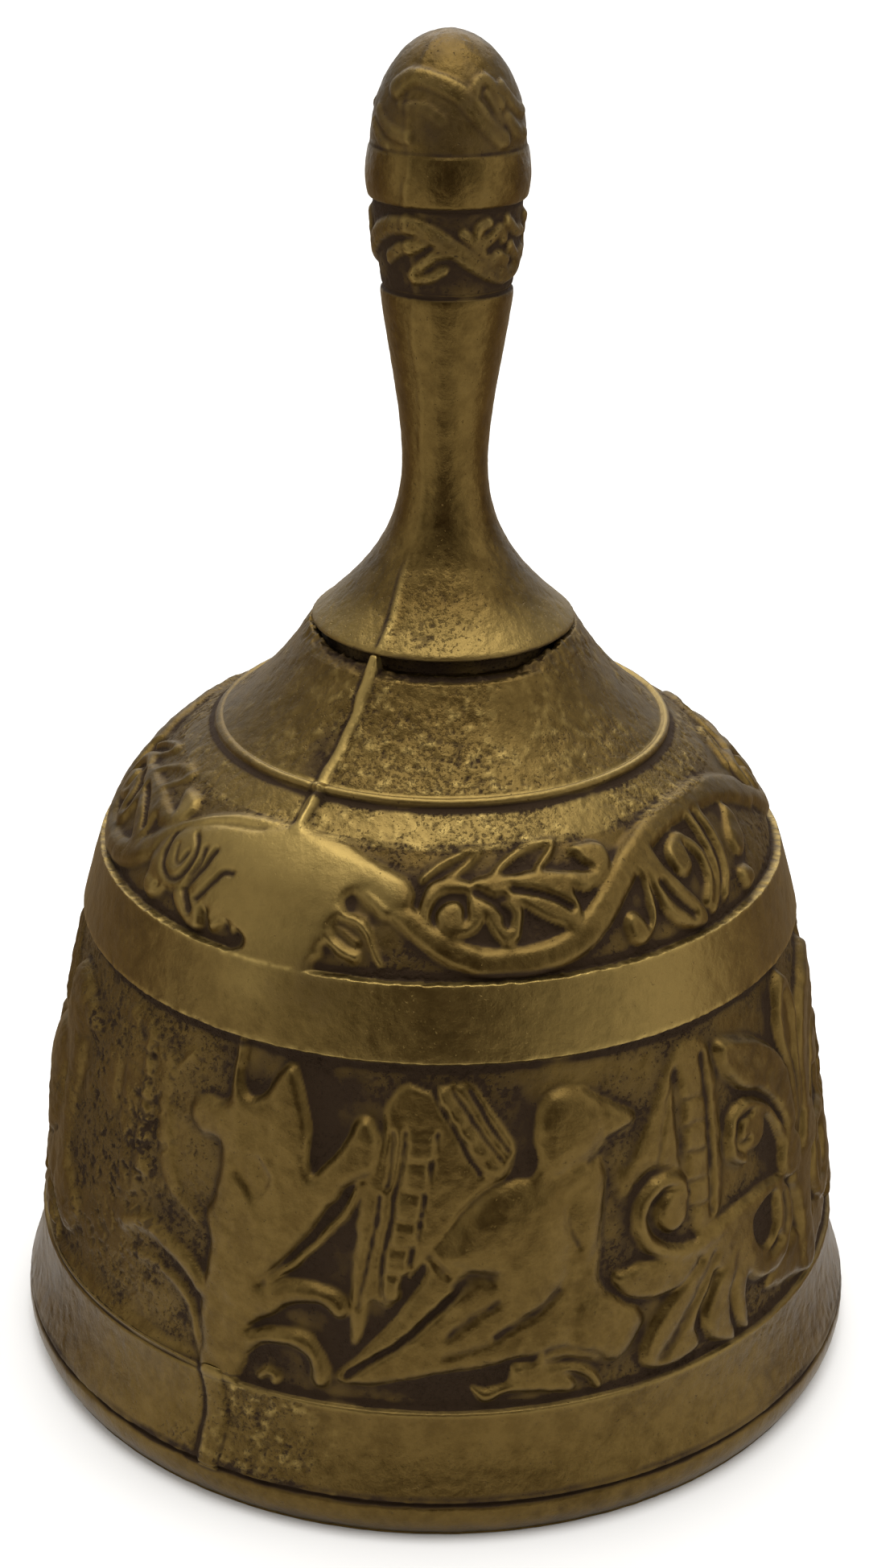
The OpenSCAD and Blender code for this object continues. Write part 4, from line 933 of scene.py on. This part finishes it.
# Iron fittings: wrought iron wire and rod, bent, hammered shut and blackened; the ball alone is cast.
# It is dull black where the forge scale is whole, brown where it rusts, and grey where it is rubbed.
# Each shape is a tree of Geometry Nodes with its sizes in mm as named inputs.
def aged_iron(name, base, rust, bare, roughness):
    material, tree = new_material(name)
    here = add(tree, "ShaderNodeTexCoord", out="Object")
    rub = add(tree, "ShaderNodeAttribute", out="Fac", attribute_name="rub")
    # Rust in patches of 3.6 mm; scale and fine pits of 0.6 mm.
    cloud, scale = (
        add(tree, "ShaderNodeTexNoise", {"Vector": here, "Scale": 1 / (width * mm), "Detail": detail,
                                         "Roughness": broken})
        for width, detail, broken in ((3.571429, 6.0, 0.7), (0.588235, 4.0, 0.65)))
    spot = add(tree, "ShaderNodeMapRange", {"Value": cloud, "From Min": 0.46, "From Max": 0.64})
    dark = add(tree, "ShaderNodeMix", {"Factor": spot, "A": linear(base), "B": linear(rust)},
               data_type="RGBA")
    patchy = add(tree, "ShaderNodeMath", {0: cloud, 1: rub}, operation="MULTIPLY")
    shown = add(tree, "ShaderNodeMapRange", {"Value": patchy, "From Min": 0.15, "From Max": 0.5})
    colour = add(tree, "ShaderNodeMix", {"Factor": shown, "A": dark, "B": linear(bare)}, data_type="RGBA")
    metallic = add(tree, "ShaderNodeMapRange", {"Value": spot, "To Min": 0.95, "To Max": 0.35})
    rough = add(tree, "ShaderNodeMapRange", {"Value": spot, "To Min": roughness, "To Max": 0.85})
    height = add(tree, "ShaderNodeMath", {0: scale, 1: 0.5, 2: cloud}, operation="MULTIPLY_ADD")
    bump = add(tree, "ShaderNodeBump", {"Height": height, "Strength": 0.5, "Distance": 0.15 * mm})
    shader = add(tree, "ShaderNodeBsdfPrincipled", {"Base Color": colour, "Metallic": metallic,
                                                    "Roughness": rough, "Normal": bump})
    add(tree, "ShaderNodeOutputMaterial", {"Surface": shader})
    return material


fixing_iron = aged_iron("blackened fixing iron", "#4a4540", "#5b3b25", "#7c756b", 0.48)
forged_iron = aged_iron("forged clapper iron", "#3d3834", "#4f3423", "#78716a", 0.52)
cast_iron = aged_iron("rubbed cast iron", "#423d39", "#4a3326", "#6e6861", 0.45)
for node in ("washer", "nut"):
    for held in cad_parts[node].material_slots:
        held.material = fixing_iron


def shape_tree(name, sizes):
    tree = bpy.data.node_groups.new(name, "GeometryNodeTree")
    tree.interface.new_socket("Geometry", in_out="OUTPUT", socket_type="NodeSocketGeometry")
    for label, value in sizes.items():
        kind = "NodeSocketInt" if isinstance(value, int) else "NodeSocketFloat"
        tree.interface.new_socket(label, in_out="INPUT", socket_type=kind).default_value = value
    return tree, tree.nodes.new("NodeGroupInput").outputs


def hammer(tree, mesh, depth, seed, cell):
    """Dents a mesh along its normals with seeded noise; cell is about a dent's width in mm."""
    noise = add(tree, "ShaderNodeTexNoise", {"Vector": add(tree, "GeometryNodeInputPosition"), "W": seed,
                                             "Scale": 1 / cell, "Detail": 1.0}, noise_dimensions="4D")
    level = add(tree, "ShaderNodeMath", {0: noise, 1: 0.62}, operation="SUBTRACT")
    push = add(tree, "ShaderNodeMath", {0: level, 1: depth}, operation="MULTIPLY")
    offset = add(tree, "ShaderNodeVectorMath", {0: add(tree, "GeometryNodeInputNormal"), "Scale": push},
                 operation="SCALE")
    return add(tree, "GeometryNodeSetPosition", {"Geometry": mesh, "Offset": offset})


def close_tree(tree, geometry, material, turn=(0, 0, 0), height=0.0):
    """Turns a shape, lifts it to its height, takes it from mm to metres, and ends the tree."""
    up = add(tree, "ShaderNodeCombineXYZ", {"Z": height})
    put = add(tree, "GeometryNodeTransform", {"Geometry": geometry, "Rotation": turn, "Translation": up})
    metres = add(tree, "GeometryNodeTransform", {"Geometry": put, "Scale": (mm, mm, mm)})
    smooth = add(tree, "GeometryNodeSetShadeSmooth", {0: metres})
    real = add(tree, "GeometryNodeRealizeInstances", {"Geometry": smooth})
    add(tree, "NodeGroupOutput", {
        "Geometry": add(tree, "GeometryNodeSetMaterial", {"Geometry": real, "Material": material})})
    return tree


def made_from(tree, name, sizes, body, node, slot):
    piece = new_piece(name, bpy.data.meshes.new(name))
    modifier = piece.modifiers.new(tree.name, "NODES")
    modifier.node_group = tree
    for item in tree.interface.items_tree:
        if item.in_out == "INPUT" and item.name in sizes:
            modifier[item.identifier] = sizes[item.name]
    mesh = bpy.data.meshes.new_from_object(piece.evaluated_get(bpy.context.evaluated_depsgraph_get()))
    piece.modifiers.clear()
    piece.data = mesh
    mesh.name = name
    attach(piece, body)
    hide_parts(node)


def link_tree(name, material, turn):
    """A ring of round wire, dented all over and rubbed bright on its inner side by its neighbour."""
    tree, size = shape_tree(name, {"Mean radius": 6.0, "Wire diameter": 3.2, "Height": 60.0,
                                   "Hammer marks": 0.3, "Seed": 1})
    path = add(tree, "GeometryNodeCurvePrimitiveCircle", {"Resolution": 96, "Radius": size["Mean radius"]})
    half = add(tree, "ShaderNodeMath", {0: size["Wire diameter"], 1: 0.5}, operation="MULTIPLY")
    wire = add(tree, "GeometryNodeCurvePrimitiveCircle", {"Resolution": 28, "Radius": half})
    ring = add(tree, "GeometryNodeCurveToMesh", {"Curve": path, "Profile Curve": wire})
    here = add(tree, "GeometryNodeInputPosition")
    level = add(tree, "ShaderNodeVectorMath", {0: here, 1: (1, 1, 0)}, operation="MULTIPLY")
    reach = add(tree, "ShaderNodeVectorMath", {0: level}, operation="LENGTH")
    inward = add(tree, "ShaderNodeMath", {0: size["Mean radius"], 1: reach}, operation="SUBTRACT")
    part = add(tree, "ShaderNodeMath", {0: inward, 1: half}, operation="DIVIDE")
    inner = add(tree, "ShaderNodeMapRange", {"Value": part, "From Min": 0.55, "From Max": 1.0})
    kept = add(tree, "GeometryNodeStoreNamedAttribute", {"Geometry": ring, "Name": "rub", "Value": inner},
               data_type="FLOAT")
    dented = hammer(tree, kept, size["Hammer marks"], size["Seed"], 3.0)
    return close_tree(tree, dented, material, turn, size["Height"])


def rod_tree(name, material):
    """A round rod whose radius runs from one end to the other; swell widens it towards its top."""
    tree, size = shape_tree(name, {"Bottom": 0.0, "Top": 10.0, "Bottom radius": 2.0, "Top radius": 2.0,
                                   "Swell": 1.0, "Hammer marks": 0.2, "Seed": 1})
    ends = [add(tree, "ShaderNodeCombineXYZ", {"Z": size[end]}) for end in ("Bottom", "Top")]
    path = add(tree, "GeometryNodeCurvePrimitiveLine", {"Start": ends[0], "End": ends[1]})
    steps = add(tree, "GeometryNodeResampleCurve", {"Curve": path, "Count": 64})
    part = add(tree, "GeometryNodeSplineParameter")
    bent = add(tree, "ShaderNodeMath", {0: part, 1: size["Swell"]}, operation="POWER")
    radius = add(tree, "ShaderNodeMapRange", {"Value": bent, "To Min": size["Bottom radius"],
                                              "To Max": size["Top radius"]})
    sized = add(tree, "GeometryNodeSetCurveRadius", {"Curve": steps, "Radius": radius})
    round_bar = add(tree, "GeometryNodeCurvePrimitiveCircle", {"Resolution": 32, "Radius": 1.0})
    bar = add(tree, "GeometryNodeCurveToMesh", {"Curve": sized, "Profile Curve": round_bar,
                                                "Fill Caps": True})
    return close_tree(tree, hammer(tree, bar, size["Hammer marks"], size["Seed"], 2.5), material)


# Eye bolt: an iron eye on a threaded stud, which passes up through the crown into the handle's foot.
# The eye is bent from the bolt's own end, and the nut and washer under the crown draw the handle down.
upright, sideways = (math.pi / 2, 0, 0), (0, math.pi / 2, 0)
eye_bolt = "bell", "eye_bolt", "fixing_iron"
fixing_rod = rod_tree("turned stud", fixing_iron)
made_from(link_tree("bent eye", fixing_iron, upright), "eye_bolt_eye",
          {"Mean radius": 5.8, "Wire diameter": 3.6, "Height": 67.1, "Hammer marks": 0.25, "Seed": 3},
          *eye_bolt)
made_from(fixing_rod, "eye_bolt_neck", {"Bottom": 72.7, "Top": 74.9, "Bottom radius": 1.5,
                                        "Top radius": 2.9, "Swell": 1.6, "Seed": 4}, *eye_bolt)
made_from(fixing_rod, "eye_bolt_stud", {"Bottom": 74.7, "Top": 100.2, "Bottom radius": 2.55,
                                        "Top radius": 2.5, "Hammer marks": 0.0, "Seed": 5}, *eye_bolt)
thread, size = shape_tree("screw thread", {"Bottom": 74.9, "Length": 25.0, "Pitch": 1.0,
                                           "Crest radius": 2.97, "Depth": 0.42})
turns = add(thread, "ShaderNodeMath", {0: size["Length"], 1: size["Pitch"]}, operation="DIVIDE")
middle = add(thread, "ShaderNodeMath", {0: size["Crest radius"], 1: size["Depth"]}, operation="SUBTRACT")
helix = add(thread, "GeometryNodeCurveSpiral", {"Resolution": 28, "Rotations": turns, "Start Radius": middle,
                                                "End Radius": middle, "Height": size["Length"]})
crest = add(thread, "GeometryNodeCurvePrimitiveCircle", {"Resolution": 8, "Radius": size["Depth"]})
coil = add(thread, "GeometryNodeCurveToMesh", {"Curve": helix, "Profile Curve": crest, "Fill Caps": True})
made_from(close_tree(thread, coil, fixing_iron, height=size["Bottom"]), "eye_bolt_thread", {}, *eye_bolt)

# Hanging ring: a loose ring of iron wire, closed cold round the eye, from which the clapper hangs.
# It is the clapper's own kind of iron, and rubbed where the two links bear on it.
made_from(link_tree("closed ring", forged_iron, sideways), "hanging_ring_wire",
          {"Mean radius": 6.0, "Wire diameter": 3.2, "Height": 58.95, "Hammer marks": 0.3, "Seed": 7},
          "ring", "hanging_ring", "clapper_iron")

# Clapper: a forged rod with a loop at its top; its thinner end goes through the ball and is riveted below.
# The collar above the ball and the rivet head under it bear on the ball's two flats.
clapper_rod = "clapper", "clapper_rod", "clapper_iron"
clapper_bar = rod_tree("forged rod", forged_iron)
made_from(link_tree("bent loop", forged_iron, upright), "clapper_loop",
          {"Mean radius": 4.6, "Wire diameter": 3.4, "Height": 51.9, "Hammer marks": 0.3, "Seed": 9},
          *clapper_rod)
for name, low, high, low_r, high_r, swell, marks in (("clapper_swell", 44.3, 47.9, 2.25, 1.5, 2.0, 0.2),
                                                     ("clapper_shank", 24.1, 44.8, 2.3, 2.2, 1.0, 0.35),
                                                     ("clapper_collar", 22.73, 24.33, 3.7, 3.2, 2.0, 0.15),
                                                     ("clapper_rivet", 2.9, 4.4, 1.9, 3.5, 0.6, 0.25)):
    made_from(clapper_bar, name, {"Bottom": low, "Top": high, "Bottom radius": low_r, "Top radius": high_r,
                                  "Swell": swell, "Hammer marks": marks, "Seed": 11}, *clapper_rod)

# Clapper ball: cast iron, bored for the rod, rubbed bright round its middle, where it strikes the bell.
# A fine line is left on it where the two halves of its mould met.
ball, size = shape_tree("bored ball", {"Radius": 10.0, "Half height": 9.165, "Middle": 13.565,
                                       "Parting line": 0.12, "Cast skin": 0.3, "Seed": 13})
globe = add(ball, "GeometryNodeMeshUVSphere", {"Segments": 96, "Rings": 72, "Radius": size["Radius"]})
here = add(ball, "GeometryNodeInputPosition")
x, y, z = (add(ball, "ShaderNodeSeparateXYZ", {"Vector": here}, out=axis) for axis in "XYZ")
low_flat = add(ball, "ShaderNodeMath", {0: size["Half height"], 1: -1.0}, operation="MULTIPLY")
held_low = add(ball, "ShaderNodeMath", {0: z, 1: low_flat}, operation="MAXIMUM")
held = add(ball, "ShaderNodeMath", {0: held_low, 1: size["Half height"]}, operation="MINIMUM")
flat_ends = add(ball, "ShaderNodeCombineXYZ", {"X": x, "Y": y, "Z": held})
off_middle, from_joint = (add(ball, "ShaderNodeMath", {0: off}, operation="ABSOLUTE") for off in (z, y))
struck = add(ball, "ShaderNodeMapRange", {"Value": off_middle, "From Min": 1.5, "From Max": 4.5,
                                          "To Min": 1.0, "To Max": 0.0})
kept = add(ball, "GeometryNodeStoreNamedAttribute", {"Geometry": globe, "Name": "rub", "Value": struck},
           data_type="FLOAT")
cut_ball = add(ball, "GeometryNodeSetPosition", {"Geometry": kept, "Position": flat_ends})
joint_line = add(ball, "ShaderNodeMapRange", {"Value": from_joint, "From Min": 0.1, "From Max": 0.5,
                                              "To Min": size["Parting line"], "To Max": 0.0})
outwards = add(ball, "ShaderNodeVectorMath", {0: add(ball, "GeometryNodeInputNormal"), "Scale": joint_line},
               operation="SCALE")
inset = add(ball, "ShaderNodeVectorMath", {0: here, "Scale": 0.985}, operation="SCALE")
seamed = add(ball, "GeometryNodeSetPosition", {"Geometry": cut_ball, "Offset": outwards, "Position": inset})
dented = hammer(ball, seamed, size["Cast skin"], size["Seed"], 4.0)
made_from(close_tree(ball, dented, cast_iron, height=size["Middle"]), "clapper_ball_casting", {},
          "clapper", "clapper_ball", "ball_iron")

# Handle: cast in brass with its knob, hollow where the stud enters, with a small vine carved round its neck.
# The flash of the mould's joint runs up it in line with the bell's.
dome_turn = np.linspace(0, math.radians(87.6), 40)
handle_profile = np.concatenate([
    [(14.65, 89.22), (14.9, 89.35), (14.98, 89.6)],
    sweep((14.7, 89.9), (9, 94.75), (4.77, 99.4), (4.77, 107.7), 60),
    sweep((4.77, 107.7), (4.77, 113.34), (6.55, 120.86), (7.22, 126.6), 60)[1:],
    [(7.15, 126.95), (6.85, 127.2), (7.0, 127.5)],
    sweep((7.08, 127.7), (7.33, 129.56), (8.03, 133.64), (8.03, 136.25), 40),
    [(7.95, 136.55), (8.35, 136.75)],
    sweep((8.55, 136.95), (9.0, 138.6), (8.83, 140.55), (8.5, 141.95), 24),
    [(8.33, 142.15)],
    np.stack([8.28 * np.cos(dome_turn), 142.25 + 11.68 * np.sin(dome_turn)], 1)[1:]])
knob = Skin(handle_profile, 300, 0.36, 0.17, tuple(np.arange(127, 152, 0.8)))
neck_leaves = Tile(knob, 45, 100, 127.6, 136.3, 0.1)
stem_line = [(a, 132.1 + 2.75 * math.cos(math.radians(2 * (a + 35)))) for a in range(-55, 146, 10)]
neck_leaves.bar(stem_line, 2.1, 0.55)
for line, wide, high in (
        ([(-12, 134), (-24, 132.9), (-40, 132.2), (-52, 131.2)], 1.7, 0.5),
        ([(0, 132.2), (-10, 131.9), (-22, 130.6), (-30, 129.6)], 1.4, 0.45),
        ([(-28, 129.3), (-16, 129.4), (-4, 130.2)], 1.3, 0.45),
        ([(12, 134.2), (22, 132.9), (30, 131.6)], 1.2, 0.45),
        ([(22, 133.6), (25, 134.8), (31, 135.2)], 1.3, 0.5),
        ([(27, 133), (34, 133.6), (42, 134.4), (47, 133.4)], 1.5, 0.5),
        ([(36, 131), (42, 131.4), (50, 130.9)], 1.9, 0.55),
        ([(50, 135.2), (60, 134), (72, 133.6)], 1.4, 0.5),
        ([(56, 132.4), (66, 131.2), (80, 131.4)], 1.4, 0.5),
        ([(84, 135), (92, 133.5), (98, 131.8)], 1.4, 0.5)):
    neck_leaves.bar(line, wide, high)
neck_leaves.set_in([0, 180])
dome_leaves = Tile(knob, 0, 90, 142.3, 153, 0.1)
for line, wide, high in (
        ([(-50, 148.4), (-38, 149.6), (-26, 149.8), (-7, 149.3), (8, 148.5), (15, 147.8), (28, 145.6),
         (43, 143.6)], 2.1, 0.45),
        ([(20, 147.6), (24, 149), (32, 149.6), (40, 148.8), (45, 147)], 1.4, 0.35),
        ([(34, 148.2), (39, 146.9), (42, 145.4)], 1.2, 0.3),
        ([(50, 148.8), (56, 147.6), (66, 146.4), (76, 146)], 1.5, 0.35),
        ([(50, 145.6), (60, 144.2), (72, 143.8)], 1.6, 0.35),
        ([(-32, 143.9), (-46, 144.3), (-58, 145.2), (-66, 146)], 1.6, 0.33),
        ([(-50, 142.8), (-60, 143.4), (-72, 144.8)], 1.3, 0.3),
        ([(-40, 147), (-20, 147), (-6, 145.8)], 1.4, 0.18)):
    dome_leaves.bar(line, wide, high)
dome_leaves.cut([(-38, 147.4), (-18, 147.8), (0, 147)], 0.4, 0.3)
dome_leaves.set_in([0, 180])
knob_z = knob.z[:, None]
waist_z, neck_z, dome_z = 99, 127, 143
knob_seam = np.zeros_like(knob.lift)
for seam_az, strength in seams:
    from_seam = knob.across(seam_az + 2.5 * np.sin(knob.z * 0.5))
    foot_seam = ramp(knob_z, 89.6, 90.1) * ramp(knob_z, waist_z, waist_z - 4)
    neck_seam = 0.15 * ramp(knob_z, neck_z, neck_z + 1) * ramp(knob_z, dome_z, dome_z - 3)
    show = strength * np.clip(foot_seam + 0.15 * ramp(knob_z, waist_z, waist_z + 3) + neck_seam, 0, 1)
    knob.lift += 0.3 * show * ridge(from_seam, 0.45)
    knob_seam = np.maximum(knob_seam, show * near(from_seam, -0.62, 0.24))
knob_relief = soften(knob.lift, 2, 2) - soften(knob.groove, 1, 1)
knob_hollow = soften(knob_relief, 4, 5) - knob_relief
knob_points = knob.points(knob_relief)
knob_blotch = lattice_noise(knob_points, 6.0, 31, 3)
knob_speckle = lattice_noise(knob_points, 1.5, 33, 2)
knob_carved = (knob_z > 127.5) & (knob_z < 136.4)
knob_lumps = near(knob.az[None, :], -8, 24) * ramp(knob_z, 98, 95) * ramp(knob_z, 89.8, 90.8)
knob_sand = np.clip(0.1 + 0.25 * (knob_z < waist_z) + 0.6 * knob_lumps + 0.4 * knob_carved
                    + 0.2 * (knob_z > 142), 0, 1)
knob_nicks = ramp(knob_speckle, 0.33, 0.21) * np.clip(knob_sand * 1.5 - 0.4, 0, 1)
knob.lift = knob_relief - 0.06 * knob_nicks + (0.03 + 0.1 * knob_sand) * (knob_speckle - 0.5)
knob_lines = sum(deep * near(knob_z, level, reach) for level, reach, deep in (
    (127.2, 0.25, 1), (136.55, 0.22, 1), (142.3, 0.2, 0.5), (89.4, 0.3, 0.5)))
knob_dirt = np.interp(knob_z, (127.2, 127.6, 136.4, 136.9, 142, 142.6, 147, 150),
                      (0, 0.2, 0.2, 0.04, 0.04, 0.3, 0.3, 0.15))
# Darker in the carving's hollows, along the knob's grooves and at its foot's edge: partly dirt, partly
# painted shade.
knob_grime_and_shade = np.clip((knob_carved * (1 - np.clip(knob_relief / 0.3, 0, 1)) * 0.42
                      + 3 * np.clip(knob_hollow - 0.02, 0, 1) + knob_lines + knob_dirt + 0.7 * knob_seam
                      + 0.25 * knob_nicks) * (0.6 + 0.8 * knob_blotch), 0, 1)
knob_rub = np.clip(-knob_hollow * 4 + 0.4 * ramp(knob_z, 94, 91), 0, 1)
knob_points = knob.points(knob.lift)
foot_z = 89.22
core = np.array([(0.25, 101.2), (2.9, 101.2), (stud_hole, 101), (stud_hole, 96), (stud_hole, 89.5),
                 (stud_hole + chamfer, foot_z), (8, foot_z), (12, foot_z), (14.4, foot_z)])
core_sheet = turned(core[:, :1], core[:, 1:], knob.az), 0, (0.6, 0, 0.8)
knob_sheet = knob_points, outward(knob_points), (knob_grime_and_shade, knob_rub, knob_sand)
# Handled brass: the same metal, smoother and a little brighter from the palm.
handle_brass = aged_brass("handled aged brass", 0.26, 0.42)
handle = cast_mesh("handle_casting", [core_sheet, knob_sheet], handle_brass, False, True, True)
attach(handle, "bell")
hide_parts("handle")
